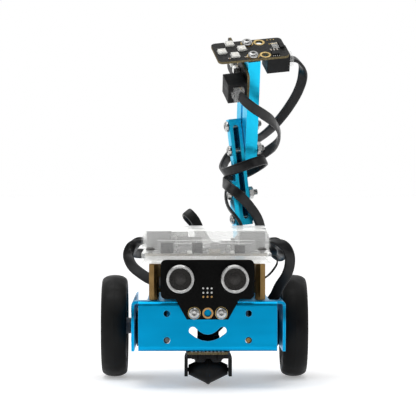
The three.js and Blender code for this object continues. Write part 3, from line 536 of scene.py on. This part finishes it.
# Front right port, outward and down through the deck window, over the motor, to the follower.
FOLLOWER_ROUTE = [
    (29.2, 37, 87.2), (35.4, 37, 87.2), (42, 36.5, 87.2), (47.2, 36, 85), (50.2, 36, 80), (50.6, 37, 73.5),
    (48.6, 38.5, 66.5), (44.6, 41.5, 60), (41.2, 46, 52.6), (36.4, 50.5, 47.6), (28, 56, 46.8),
    (20, 61, 43.5), (12, 64, 38.5), (5.5, 62.5, 32.5), (1.8, 56.5, 29), (0.3, 48, 28.1), (0, 39, 28.1),
    (0, 33, 28.1),
]

# Battery holder's right end, outward and up, into the case beside the front port.
BATTERY_ROUTE = [
    (27.4, 60, 62), (32, 58.8, 62.2), (37, 57, 64.8), (41, 54.5, 69), (43.6, 52.3, 74), (42.6, 51, 77.6),
    (38.5, 51, 78.4), (34, 51, 78.4),
]


RING_SPACING = 1.0 * MM          # between the sections of a cable
STEPS_A_SPAN = 12                # points of the curve between two of its route's points


def smooth_path(route):
    """Evenly spaced points of the centripetal Catmull-Rom curve through a route."""
    knots = [at(*point) for point in route]
    knots = [2 * knots[0] - knots[1], *knots, 2 * knots[-1] - knots[-2]]
    fine = []
    for a, b, c, d in zip(knots, knots[1:], knots[2:], knots[3:]):
        t1 = (b - a).length ** 0.5
        t2 = t1 + (c - b).length ** 0.5
        t3 = t2 + (d - c).length ** 0.5
        for t in np.linspace(t1, t2, STEPS_A_SPAN, endpoint=False):
            ab = a.lerp(b, t / t1)
            bc = b.lerp(c, (t - t1) / (t2 - t1))
            cd = c.lerp(d, (t - t2) / (t3 - t2))
            abc = ab.lerp(bc, t / t2)
            bcd = bc.lerp(cd, (t - t1) / (t3 - t1))
            fine.append(abc.lerp(bcd, (t - t1) / (t2 - t1)))
    fine = np.array([*fine, knots[-2]])
    along = np.concatenate([[0], np.cumsum(np.linalg.norm(np.diff(fine, axis=0), axis=1))])
    even = np.linspace(0, along[-1], int(along[-1] / RING_SPACING) + 1)
    return np.stack([np.interp(even, along, fine[:, axis]) for axis in range(3)], axis=1)


def unit(vectors):
    return vectors / np.maximum(np.linalg.norm(vectors, axis=-1, keepdims=True), 1e-12)


TWIST_REACH = 9 * MM             # length over which a flat cable turns about itself
BESIDE_CASE = {"out": 38 * MM, "below": 100 * MM}
SHOWN_PULL = 3e4                 # how strongly each wish turns the width, against the curve's own bends
HOLD_PULL = 6e4
PLUG_PULL = 4e6


def ribbon_widths(points, start, end, holds=()):
    """Tangents of a flat cable and the directions of its width, one of each for every point.

    It bends about its width, fits its plugs, and shows its wide side to the front beside the case.
    A hold (low, high, direction) turns the width towards a direction between two shares of the length."""
    step = np.linalg.norm(points[1] - points[0])
    tangents = unit(np.gradient(points, axis=0))
    bends = np.cross(tangents, np.gradient(tangents, axis=0) / step)
    pull = bends[:, :, None] * bends[:, None, :]
    along = np.arange(len(points)) * step
    near = np.exp(-(((along[:, None] - along[None, :]) / TWIST_REACH) ** 2))
    field = np.einsum("ij,jab->iab", near, pull)
    sideways = unit(np.cross(tangents, (0, 1, 0)))
    out = np.abs(points[:, 0] - CHASSIS_ORIGIN.x)
    beside = (out > BESIDE_CASE["out"]) & (points[:, 2] < BESIDE_CASE["below"])
    shown = near @ beside.astype(float) * SHOWN_PULL
    field += shown[:, None, None] * sideways[:, :, None] * sideways[:, None, :]
    share = np.linspace(0, 1, len(points))
    for low, high, direction in holds:
        weight = near @ ((share > low) & (share < high)).astype(float) * HOLD_PULL
        field += weight[:, None, None] * np.outer(direction, direction)
    for wide, gap in ((start, along), (end, along[-1] - along)):
        hold = np.outer(wide, wide)
        field += hold * (PLUG_PULL * np.exp(-((gap / TWIST_REACH) ** 2)))[:, None, None]
    widths = []
    for tangent, pulls in zip(tangents, field):
        sidelong = np.eye(3) - np.outer(tangent, tangent)
        _, axes = np.linalg.eigh(sidelong @ pulls @ sidelong)
        wide = axes[:, -1]
        if widths and np.dot(wide, widths[-1]) < 0:
            wide = -wide
        widths.append(wide)
    even = near @ np.array(widths)
    even -= tangents * np.sum(even * tangents, axis=1, keepdims=True)
    return tangents, unit(even)


def ribbon_outline(width, thick, points=20):
    """Flat section with round edges, a little thinner along its middle."""
    outline = []
    for step in range(points):
        angle = tau * step / points
        x = width / 2 * np.sign(cos(angle)) * abs(cos(angle)) ** 0.7
        ridge = 0.86 + 0.14 * abs(2 * x / width) ** 2
        outline.append((x, thick / 2 * np.sign(sin(angle)) * abs(sin(angle)) ** 0.55 * ridge))
    return outline


def swept(points, tangents, widths, outline):
    """Skin of an outline carried along a path, closed at both ends."""
    made = bmesh.new()
    rings = []
    for point, tangent, wide in zip(points, tangents, widths):
        flat = np.cross(tangent, wide)
        rings.append([made.verts.new(point + wide * x + flat * y) for x, y in outline])
    for lower, upper in zip(rings, rings[1:]):
        for index in range(len(outline)):
            after = (index + 1) % len(outline)
            made.faces.new((lower[index], lower[after], upper[after], upper[index]))
    made.faces.new(rings[0])
    made.faces.new(rings[-1])
    return made


PLUG = {"half_wide": 4.6, "half_high": 3.2, "inside": 6.6, "outside": 3.2}
LATCH = {"half_wide": 1.6, "inside": 4, "outside": 2.6, "rise": 1.0, "slope": -4}
BLADE = {"half_wide": 0.15, "from": -6.3, "to": -2.5, "top": -0.6}
BLADE_PLACES = (-2.54, -1.52, -0.51, 0.51, 1.52, 2.54)
MOUTH_HEIGHT = 5.7 * MM          # middle of a socket's mouth above its foot


def plug(name, mouth, frame_turn):
    """Clear plug in a jack: block with a latch that rises outside the mouth, and gold contacts."""
    wide, high = PLUG["half_wide"], PLUG["half_high"]
    block = brick((-PLUG["inside"], -wide, -high), (PLUG["outside"], wide, high), 0.5)
    hinge = Vector((-LATCH["inside"], 0, high)) * MM
    latch = brick(
        (-LATCH["inside"], -LATCH["half_wide"], high + 0.1),
        (LATCH["outside"], LATCH["half_wide"], high + LATCH["rise"]), 0.3)
    bmesh.ops.rotate(latch, cent=hinge, matrix=turn("Y", LATCH["slope"]), verts=latch.verts)
    shell = moved(joined(block, latch), mouth, frame_turn)
    blades = [
        brick(
            (BLADE["from"], wire - BLADE["half_wide"], -high - 0.05),
            (BLADE["to"], wire + BLADE["half_wide"], BLADE["top"]))
        for wire in BLADE_PLACES
    ]
    contacts = moved(joined(*blades), mouth, frame_turn)
    return [
        piece(f"plug_{name}", shell, "clear_plug"),
        piece(f"contacts_{name}", contacts, "gold"),
    ]


def mouth_of(jack, frame_turn):
    """Middle of a jack's opening, in the row frame."""
    low, high = corners(jack, frame_turn)
    return frame_turn @ Vector((high.x, (low.y + high.y) / 2, low.z + MOUTH_HEIGHT))


def flat_cable(node, route, start, end, holds=()):
    """Flat cable along its route, with a clear plug in the jack at each end; an end is (jack, turn)."""
    points = smooth_path(route)
    level = Vector((0, 1, 0))
    tangents, widths = ribbon_widths(points, start[1] @ level, end[1] @ level, holds)
    skin = swept(points, tangents, widths, ribbon_outline(RIBBON["width"], RIBBON["thick"]))
    body = piece(f"{node}_sheath", skin, "cable_black", stands_for=[node], crease=60)
    plugs = [
        part
        for label, (jack, frame_turn) in (("a", start), ("b", end))
        for part in plug(f"{node}_{label}", mouth_of(jack, frame_turn), frame_turn)
    ]


flat_cable(
    "cable_light_board", LIGHT_ROUTE, ("light_board_jack", LIGHT), ("port_right_rear", LEVEL),
    [(0.09, 0.24, (1, 0, 0))])
flat_cable(
    "cable_light_sensor", SENSOR_ROUTE, ("light_sensor_jack", SENSOR @ BACK), ("port_left_rear", BACK),
    [(0.38, 0.49, (0, 1, 0)), (0.535, 0.60, (0, 0, 1))])
flat_cable(
    "cable_ultrasonic", ULTRASONIC_ROUTE, ("port_left_front", BACK), ("ultrasonic_jack", BACK))
flat_cable(
    "cable_line_follower", FOLLOWER_ROUTE, ("port_right_front", LEVEL),
    ("line_follower_jack", REARWARD))


WIRE = {"radius": 0.48 * MM, "apart": 0.5 * MM, "sides": 12}


def battery_lead():
    """Pair of thin insulated wires side by side."""
    points = smooth_path(BATTERY_ROUTE)
    tangents, widths = ribbon_widths(points, (0, 1, 0), (0, 1, 0))
    angles = [tau * step / WIRE["sides"] for step in range(WIRE["sides"])]
    wire = [(WIRE["radius"] * cos(angle), WIRE["radius"] * sin(angle)) for angle in angles]
    strands = [
        swept(points, tangents, widths, [(x + side * WIRE["apart"], y) for x, y in wire]) for side in (-1, 1)
    ]
    body = piece("battery_lead_pair", joined(*strands), "cable_black", stands_for=["battery_lead"], crease=60)


battery_lead()

# ---------- nodes that keep their CAD shape, with rounded edges ----------

KEPT = {
    "anodised_blue": ["chassis", "mast_bracket"],
    "anodised_mast_painted_light": ["mast_plate_lower", "mast_beam_middle", "mast_beam_upper"],
    "black_plastic": [
        "gearbox_left", "gearbox_right", "wheel_hub_left", "wheel_hub_right", "power_switch",
        "power_switch_lever", "caster_frame", "battery_holder"],
    "soft_black": [
        "ultrasonic_jack", "line_follower_jack", "port_left_front", "port_left_rear", "port_right_front",
        "port_right_rear", "light_board_jack", "light_sensor_jack"],
    "clear_plastic": ["case_tray", "case_cover"],
    "white_plastic": ["output_shaft_left", "output_shaft_right"],
    "steel": ["usb_port", "motor_left", "motor_right"],
    "level_board": ["mainboard", "line_follower_board"],
    "upright_board": ["ultrasonic_board"],
    "light_board": ["light_board"],
    "sensor_board": ["light_sensor_board"],
}
BOARD_EDGE = 0.08 * MM
OTHER_EDGE = 0.25 * MM
for look, nodes in KEPT.items():
    for node in nodes:
        refined(node, look, BOARD_EDGE if look.endswith("board") else OTHER_EDGE)


# ---------- wheels, in millimetres ----------

TREAD = [
    (26.3, -6.8), (26.6, -7.4), (27.8, -8), (28.6, -8), (29.5, -7.75), (30.4, -7.1), (31.2, -5.9),
    (31.8, -4.6), (32.15, -3), (32.36, -1.4), (32.4, -0.25), (32.5, 0)]
HUB_SCREW = [
    (0, -1), (3.2, -1), (3.3, -0.4), (3.0, 0.5), (2.2, 1.0), (1.2, 1.1, "hex"), (1.2, 0.3, "hex"), (0, 0.1)]
FLANGE_SCREW = [
    (0, -1), (2.6, -1), (2.8, 0), (2.8, 1.0), (2.4, 1.5), (1.1, 1.6, "hex"), (1.1, 0.7, "hex"), (0, 0.6)]
FLANGE_OUT = 46.5                # outer face of a chassis flange from the middle
FLANGE_SCREWS = [(62, 25.3), (62, 43.6)]         # y and z of the two screws that hold a gearbox
MOTOR_CAP = [(0, 0.1), (2.6, 0.1), (7.0, 0.1), (7.3, 0.6), (7.3, 2.2), (7.3, 2.8)]
MOTOR_CAP_BACK = 1.9 * MM        # from the motor's front end to the cap
COLLAR = [(3.0, -1), (4.9, -1), (5.1, -0.8), (5.1, 1.9), (4.9, 2.2), (3.0, 2.2), (3.0, -1)]


def wheel(name, side):
    """Tyre, hub screw and collar, which turn, and the flange screws and motor cap beside them."""
    low, high = corners(f"tyre_{name}")
    middle = (low + high) / 2
    outward, inward = (AGAINST_X, ALONG_X) if side < 0 else (ALONG_X, AGAINST_X)
    profile = [*TREAD, *[(radius, -height) for radius, height in reversed(TREAD[:-1])], TREAD[0]]
    across(f"tyre_{name}", ring(profile, 120), "tyre_rubber", middle)
    shaft = corners(f"output_shaft_{name}")
    end = shaft[0].x if side < 0 else shaft[1].x
    screw_mesh = moved(ring(HUB_SCREW, 48), (end, middle.y, middle.z), outward)
    piece(f"hub_screw_{name}", screw_mesh, "steel", f"wheel_{name}")
    inner = high.x if side < 0 else low.x
    collar = moved(ring(COLLAR, 48), (inner, middle.y, middle.z), inward)
    piece(f"hub_collar_{name}", collar, "part_grey", f"wheel_{name}")
    heads = [
        moved(ring(FLANGE_SCREW, 48), at(side * FLANGE_OUT, y, z), outward) for y, z in FLANGE_SCREWS
    ]
    piece(f"motor_screws_{name}", joined(*heads), "dark_steel")
    can = corners(f"motor_{name}")
    front = Vector(((can[0].x + can[1].x) / 2, can[0].y + MOTOR_CAP_BACK, middle.z))
    cap = moved(ring(MOTOR_CAP, 48), front, BACKWARD)
    piece(f"motor_cap_{name}", cap, "motor_white")


wheel("left", -1)
wheel("right", 1)

# ---------- fasteners ----------

THREAD = {"pitch": 0.35, "crest": 1.92, "root": 1.68}
HEAD_HEIGHT = 2.2
BUTTON_HEAD = [
    (1.9, -0.1), (3.3, 0), (3.55, 0.25), (3.5, 0.8), (3.1, 1.5), (2.55, 2.0), (2.0, HEAD_HEIGHT),
    (1.35, HEAD_HEIGHT, "hex"), (1.25, 2.05, "hex"), (1.25, 1.0, "hex"), (0, 0.75)]


def screw(node, frame_turn, out, grip=None, look="steel"):
    """Button head screw with hex socket and thread for a CAD screw whose head points `out`.

    With a grip it also has a nut, that many millimetres below the head."""
    low, high = corners(node, frame_turn)
    out = Vector(out)
    reach = abs((high - low).dot(out)) / 2
    top = (low + high) / 2 + out * reach
    long = 2 * reach / MM - HEAD_HEIGHT
    rows = [(0, -long), (1.5, -long)]
    pitch = THREAD["pitch"]
    for turn_number in range(int((long - 1) / pitch)):
        height = 0.4 - long + turn_number * pitch
        rows += [(THREAD["crest"], height), (THREAD["root"], height + pitch / 2)]
    bodies = [ring([*rows, *BUTTON_HEAD], 36)]
    if grip:
        bodies.append(ring([
            (1.9, -grip), (3.2, -grip), (3.5, -grip - 0.3, "hex"), (3.5, -grip - 2.9, "hex"),
            (3.2, -grip - 3.2), (1.9, -grip - 3.2)], 48))
    facing = (frame_turn @ out).to_track_quat("Z", "Y").to_matrix()
    seat = frame_turn @ (top - out * HEAD_HEIGHT * MM)
    piece(f"{node}_body", moved(joined(*bodies), seat, facing), look, BODY_OF[node], [node])


for number in (1, 2):
    screw(f"ultrasonic_screw_{number}", LEVEL, (0, -1, 0), 5.6)
    screw(f"caster_screw_{number}", LEVEL, (0, 0, -1), 7.6, "soft_black")
    screw(f"mast_bolt_lower_{number}", MAST, (-1, 0, 0), 11.9)
    screw(f"mast_bolt_upper_{number}", MAST, (-1, 0, 0), 17.5)
    screw(f"bracket_screw_{number}", LOWER, (1, 0, 0), 6.3)
    screw(f"light_board_screw_{number}", LIGHT, (0, 0, 1))



def foot_of(node):
    """Middle of a node's underside, and its height in millimetres."""
    low, high = corners(node)
    return ((low.x + high.x) / 2, (low.y + high.y) / 2, low.z), (high.z - low.z) / MM


for row in ("front", "rear"):
    for name in ("left", "right"):
        node = f"standoff_{row}_{name}"
        place, tall = foot_of(node)
        body = ring([
            (0, 0), (2.7, 0), (3, 0.3, "hex"), (3, tall - 0.3, "hex"), (2.7, tall), (0, tall)], 48)
        piece(f"{node}_body", moved(body, place), "brass", stands_for=[node])

# ---------- push button and caster roller ----------

BUTTON_CAP = [(0, 0), (2.6, 0), (2.6, 2.9), (2.5, 3.15), (2.2, 3.3), (1.6, 3.25), (0, 3.15)]
CONE = [
    (0, -14.3), (1.1, -14.3), (1.3, -14.1), (1.3, -12), (2.9, -12), (3.2, -11.8), (3.5, -11), (8.1, -1.6),
    (8.8, -0.8), (9.2, 0)]

button_cap = moved(ring(BUTTON_CAP, 48), foot_of("user_button")[0])
piece("user_button_body", button_cap, "dark_steel", "button", ["user_button"])

low, high = corners("caster_roller")
profile = CONE + [(radius, -height) for radius, height in reversed(CONE[:-1])]
across("caster_roller", ring(profile, 72), "black_plastic", (low + high) / 2)

# ---------- ultrasonic sensor ----------

CAN = [
    (0, 0), (7.9, 0), (8.2, 0.3), (8.2, 1.1), (8.02, 1.3), (8.02, 10.9), (8.2, 11.1), (8.2, 11.7),
    (7.9, 12), (6.85, 12), (6.6, 11.75), (6.55, 10.2), (0, 10.1)]


DOME = [(3.3, 10.35), (3.1, 10.75), (2.2, 11.05), (0, 11.2)]
WOVEN = {"pitch": 0.44, "each_way": 14, "half": 0.07, "radius": 6.5, "upright": 11.22, "level": 11.3,
         "thick": 0.12}


def transducer(node):
    """Silver can with a rolled rim, a grey dome inside it and woven wire over the dome."""
    low, high = corners(node)
    place = Vector(((low.x + high.x) / 2, high.y, (low.z + high.z) / 2))
    piece(f"{node}_body", moved(ring(CAN, 72), place, FORWARD), "steel", stands_for=[node])
    cloth = moved(ring([(6.57, 10.3), (0, 10.35)], 48), place, FORWARD)
    piece(f"{node}_cloth", cloth, "mesh_dark")
    piece(f"{node}_dome", moved(ring(DOME, 48), place, FORWARD), "dark_steel")
    wires = []
    thin, thick = WOVEN["half"], WOVEN["thick"]
    upright, level = WOVEN["upright"], WOVEN["level"]
    for step in range(-WOVEN["each_way"], WOVEN["each_way"] + 1):
        offset = step * WOVEN["pitch"]
        half = (WOVEN["radius"] ** 2 - offset ** 2) ** 0.5
        wires.append(brick((offset - thin, -half, upright), (offset + thin, half, upright + thick)))
        wires.append(brick((-half, offset - thin, level), (half, offset + thin, level + thick)))
    piece(f"{node}_mesh", moved(joined(*wires), place, FORWARD), "mesh_dark")


transducer("ultrasonic_emitter")
transducer("ultrasonic_receiver")


# ---------- small parts of the boards ----------

SUNK = -0.02                     # how far small parts reach into their board


def face_of(node, frame_turn):
    """Middle of a board's component face, in the row frame."""
    low, high = corners(node, frame_turn)
    return frame_turn @ Vector(((low.x + high.x) / 2, (low.y + high.y) / 2, high.z))


def parts(name, spot, frame_turn, rows, look, slot="black_plastic", edge=0.12):
    """Small blocks on a board; a row is (x, y, wide, deep, high) in millimetres from the spot."""
    bodies = [
        brick((x - wide / 2, y - deep / 2, SUNK), (x + wide / 2, y + deep / 2, high), edge)
        for x, y, wide, deep, high in rows
    ]
    return piece(name, moved(joined(*bodies), spot, frame_turn), look)


def tinned(name, spot, frame_turn, rows, edge=0.08):
    """Bare tinned parts, such as leads and solder tails."""
    return parts(name, spot, frame_turn, rows, "tin", "steel", edge)


def lamp_cases(name, spot, frame_turn, places, high):
    """White square cases of light-emitting parts."""
    rows = [(x, y, 5, 5, high) for x, y in places]
    return parts(name, spot, frame_turn, rows, "white_plastic", "white_plastic", 0.3)


def domes(name, spot, frame_turn, places, look, radius=0.65, high=0.45):
    """Low round beads, such as solder joints, at places in millimetres."""
    profile = [(radius, -0.03), (radius * 0.93, high * 0.45), (radius * 0.6, high * 0.85), (0, high)]
    beads = [moved(ring(profile, 20), Vector((x, y, 0)) * MM) for x, y in places]
    return piece(name, moved(joined(*beads), spot, frame_turn), look)


def lenses(name, spot, frame_turn, places, radius, high, above):
    """Domes over light-emitting parts, `above` millimetres over their board."""
    raised = spot + frame_turn @ Vector((0, 0, above * MM))
    return domes(name, raised, frame_turn, places, "led_lens", radius, high)


def washers(name, spot, frame_turn, places, look, inner=2.35, outer=3.5, high=0.06):
    """Plated rings round holes."""
    profile = [(inner, SUNK), (inner, high), (outer, high), (outer, SUNK)]
    rings = [moved(ring(profile, 40), Vector((x, y, 0)) * MM) for x, y in places]
    return piece(name, moved(joined(*rings), spot, frame_turn), look)


def row_of(count, pitch, x=0.0, y=0.0):
    """Places in a row along x, about a middle."""
    return [(x + (step - (count - 1) / 2) * pitch, y) for step in range(count)]


def chips(name, spot, frame_turn, rows):
    """Black packages with two rows of tinned leads; a row is (x, y, long, wide, high, leads a side)."""
    parts(f"{name}_bodies", spot, frame_turn, [row[:5] for row in rows], "soft_black")
    leads = [
        (x + (step - (count - 1) / 2) * long / count, y + side * (wide / 2 + 0.45), 0.4, 1.1, 0.45)
        for x, y, long, wide, high, count in rows
        for side in (-1, 1)
        for step in range(count)
    ]
    tinned(f"{name}_leads", spot, frame_turn, leads)


def capacitors(name, spot, frame_turn, rows):
    """Chip capacitors: a tan body between two tinned ends; a row is (x, y, 1 if it lies along x)."""
    tan = [(x, y, 0.9 if flat else 0.8, 0.8 if flat else 0.9, 0.6) for x, y, flat in rows]
    parts(f"{name}_bodies", spot, frame_turn, tan, "part_tan", edge=0.08)
    reach, short, long = 0.65, 0.45, 0.85
    ends = [
        (x + side * reach, y, short, long, 0.65) if flat else (x, y + side * reach, long, short, 0.65)
        for x, y, flat in rows
        for side in (-1, 1)
    ]
    tinned(f"{name}_ends", spot, frame_turn, ends)


def jack_pins(jack, frame_turn, rise):
    """Six solder tails behind a socket."""
    low, high = corners(jack, frame_turn)
    middle = (low.y + high.y) / 2
    back = frame_turn @ Vector((low.x, middle, low.z))
    tails = [(-0.5, 1.27 * (step - 2.5), 1.2, 0.4, 0.5) for step in range(6)]
    tinned(f"{jack}_pins", back + frame_turn @ Vector((0, 0, rise)), frame_turn, tails)


for side, frame_turn in (("left", BACK), ("right", LEVEL)):
    for row in ("front", "rear"):
        jack_pins(f"port_{side}_{row}", frame_turn, 0)
jack_pins("ultrasonic_jack", BACK, 0)
jack_pins("line_follower_jack", REARWARD, 0)
jack_pins("light_board_jack", LIGHT, 12.0 * MM)
jack_pins("light_sensor_jack", SENSOR @ BACK, 0)

# ---------- ultrasonic board: ringed holes, three rows of solder joints, and chips behind ----------

EYES = at(-0.5, -3.5, 0)
EYES_BACK = at(-0.5, -1.9, 0)
EYE_HOLES = 45.8                 # height of the ringed holes
EYE_SCREWS = [(-8.1, EYE_HOLES), (8.1, EYE_HOLES)]
EYE_JOINTS = row_of(3, 2.5, -0.2, 60.7) + row_of(3, 2.5, -0.2, 58.1)
EYE_JOINTS_LOW = row_of(3, 2.5, -0.2, 55.6)
washers("eye_ring", EYES, FORWARD, [(0, EYE_HOLES)], "copper_ring", 2.25, 3.3)
washers("eye_screw_rings", EYES, FORWARD, EYE_SCREWS, "gold", 2.35, 3.75, 0.04)
domes("eye_joints", EYES, FORWARD, EYE_JOINTS, "tin", radius=0.62)
domes("eye_joints_low", EYES, FORWARD, EYE_JOINTS_LOW, "copper_ring", 0.62)
chips("eye_chips", EYES_BACK, BACKWARD, [(-16, -70, 8.6, 3.9, 1.6, 7), (14, -70, 5, 3.9, 1.6, 4)])

# ---------- light board: four lamps in a diamond, ringed holes, joints, a chip and a connector ----------

LAMPS = face_of("light_board", LIGHT)
LAMP_PLACES = [(-18.3, 0), (-11.3, 8.8), (-5, 1.5), (-11.2, -5.8)]
LAMP_LEADS = [
    (x + side * 2.7, y + end * 1.6, 0.6, 0.9, 0.5)
    for x, y in LAMP_PLACES
    for side in (-1, 1)
    for end in (-1, 0, 1)
]
LAMP_PARTS = [(-15.6, -8.8, 1), (-4.9, -8.9, 1), (13, -3.5, 0), (15, -3.5, 0), (17, -3.5, 0)]
LAMP_PINS = [(17, -1.2 + 1.2 * step, 4.4, 0.45, 0.45) for step in range(6)]
LAMP_JOINTS = row_of(6, 1.27, 17, 4.4) + row_of(3, 2.1, 16, 9.6)
washers("lamp_rings", LAMPS, LIGHT, [(8, -8), (8, 8)], "gold", 2.35, 3.6)
washers("lamp_screw_rings", LAMPS, LIGHT, [(0, -8), (0, 8)], "gold", 2.35, 4.0, 0.05)
lamp_cases("lamp_cases", LAMPS, LIGHT, LAMP_PLACES, 1.5)
lenses("lamp_lenses", LAMPS, LIGHT, LAMP_PLACES, 1.75, 0.35, 1.45)
tinned("lamp_leads", LAMPS, LIGHT, LAMP_LEADS)
domes("lamp_joints", LAMPS, LIGHT, LAMP_JOINTS, "gold", 0.5)
capacitors("lamp_parts", LAMPS, LIGHT, LAMP_PARTS)
chips("lamp_chip", LAMPS, LIGHT, [(14.6, -8.2, 4.9, 3.9, 1.4, 4)])
tinned("lamp_pins", LAMPS, LIGHT, LAMP_PINS)
parts("lamp_notch", LAMPS, LIGHT, [(20.8, 1.6, 2.6, 8.2, 1.6)], "soft_black", edge=0.2)

# ---------- light sensor board: a lamp, a silver can, small parts and pins ----------

SIGHT = face_of("light_sensor_board", SENSOR)
SIGHT_LAMP = [(12, 0)]
SIGHT_PINS = [(-9.6, 1.6 * step - 4, 1.8, 0.6, 2.6) for step in range(6)]
lamp_cases("sight_case", SIGHT, SENSOR, SIGHT_LAMP, 1.6)
lenses("sight_lens", SIGHT, SENSOR, SIGHT_LAMP, 1.8, 0.5, 1.55)
capacitors("sight_parts", SIGHT, SENSOR, [(5, -5, 0), (7, -5, 0), (5, 5, 0), (7, 5, 0)])
capacitors("sight_row", SIGHT, SENSOR, [(-5.5, 2 + 1.8 * step, 1) for step in range(4)])
washers("sight_rings", SIGHT, SENSOR, [(0, -8), (0, 8)], "gold", 1.2, 2.0)
tinned("sight_pins", SIGHT, SENSOR, SIGHT_PINS, 0.1)
tinned("sight_can", SIGHT, SENSOR, [(-4.6, -4.4, 4.6, 4.6, 4.2)], 0.9)

# ---------- line follower: joints along its front edge, and four sensing parts underneath ----------

FOLLOWER = face_of("line_follower_board", LEVEL)
UNDER = FOLLOWER - Vector((0, 0, 1.6 * MM))
FOLLOWER_EYES = [(x, 21.5, 3.2, 2.7, 3.0) for x in (-8, -3.5, 3.5, 8)]
domes("follower_joints", FOLLOWER, LEVEL, row_of(9, 2.3, 0, -24.9), "tin", radius=0.8, high=0.62)
capacitors("follower_parts", FOLLOWER, LEVEL, [(-9, -20, 1), (9, -20, 1), (-9.5, -16, 0), (9.5, -16, 0)])
parts("follower_eyes", UNDER, UPSIDE_DOWN, FOLLOWER_EYES, "soft_black", edge=0.4)

# ---------- main board, seen dimly through the cover, and the cover's screws ----------

MAIN = at(-1.2, 49, 81.2)
MAIN_CHIPS = [(-4, 2, 18, 7.2, 2.2, 14), (6, 24, 8.6, 5.3, 1.8, 8), (-16, -34, 6, 4, 1.4, 4)]
MAIN_HEADERS = [(-10, 14, 15, 2.5, 8.5), (-20, -20, 2.5, 10, 8.5), (16.5, -20, 2.5, 12, 8.5)]
BAY_PARTS = [(-23.8, -41.5, 7.8, 6, 6.4), (-5.5, -41.5, 6.4, 6, 6.6), (20, -41.5, 6.4, 6, 5)]
PART_COLUMNS = range(-24, 26, 5)
PART_ROWS = (-42, -36, -30, -9, 9, 19, 31, 37)
chips("main_chips", MAIN, LEVEL, MAIN_CHIPS)
tinned("main_crystal", MAIN, LEVEL, [(14, 3, 3.4, 11, 3.5)], 1.0)
parts("main_headers", MAIN, LEVEL, MAIN_HEADERS, "soft_black", edge=0.3)
parts("main_buzzer_base", MAIN, LEVEL, [(8, -18, 9.5, 9.5, 5.5)], "soft_black", edge=1.2)
parts("bay_parts", MAIN, LEVEL, BAY_PARTS, "soft_black", edge=0.5)
lamp_cases("main_lamps", MAIN, LEVEL, [(-9, -41), (17, -41)], 1.6)
scatter = np.random.default_rng(7)
SPOTS = [(x, y, int(scatter.integers(2))) for x in PART_COLUMNS for y in PART_ROWS]
capacitors("main_parts", MAIN, LEVEL, [spot for spot in SPOTS if scatter.random() < 0.5])

CASE_SCREW = [
    (0, -2), (1.3, -2), (1.3, 0), (2.4, 0), (2.7, 0.4), (2.5, 1.2), (1.8, 1.8), (1.2, 1.9, "hex"),
    (1.1, 0.8, "hex"), (0, 0.7)]
CASE_SCREWS = [(-35, 8.5, 82.9), (32.4, 8.5, 82.9)]
case_heads = [moved(ring(CASE_SCREW, 40), at(*place)) for place in CASE_SCREWS]
piece("case_screws", joined(*case_heads), "dark_steel")

# ---------- screw ends in the front plate, and ridges along the bottom of the middle beam's slot ----------

SCREW_END = [(0, 1.2), (1.4, 1.2), (1.75, 0.8), (1.75, -9), (0, -9)]
for name, x, look, slot in (("left", -25, "dark_steel", "steel"), ("right", 24, "brass", "brass")):
    end = moved(ring(SCREW_END, 32), at(x, 2.6, 29.3), FORWARD)
    piece(f"plate_screw_{name}", end, look)

# The strip and ridges at the slot's bottom are dark navy: painted shade in the slot's recess.
low, high = corners("mast_beam_middle", MIDDLE)
slot_floor = MIDDLE @ ((low + high) / 2 + Vector((0, 1.5, 0.25)) * MM)
slot_shade_strip = (0, 0, 3.3, 61, 0.2)
ridges = [(0, 0.8 * step, 3.3, 0.4, 1.4) for step in range(-37, 38)]
parts(
    "mast_thread_painted_shade", slot_floor, MIDDLE @ FORWARD, [slot_shade_strip, *ridges], "slot_shade_navy", "anodised_blue", 0.05)

# ---------- last update of the view layer ---

bpy.context.view_layer.update()
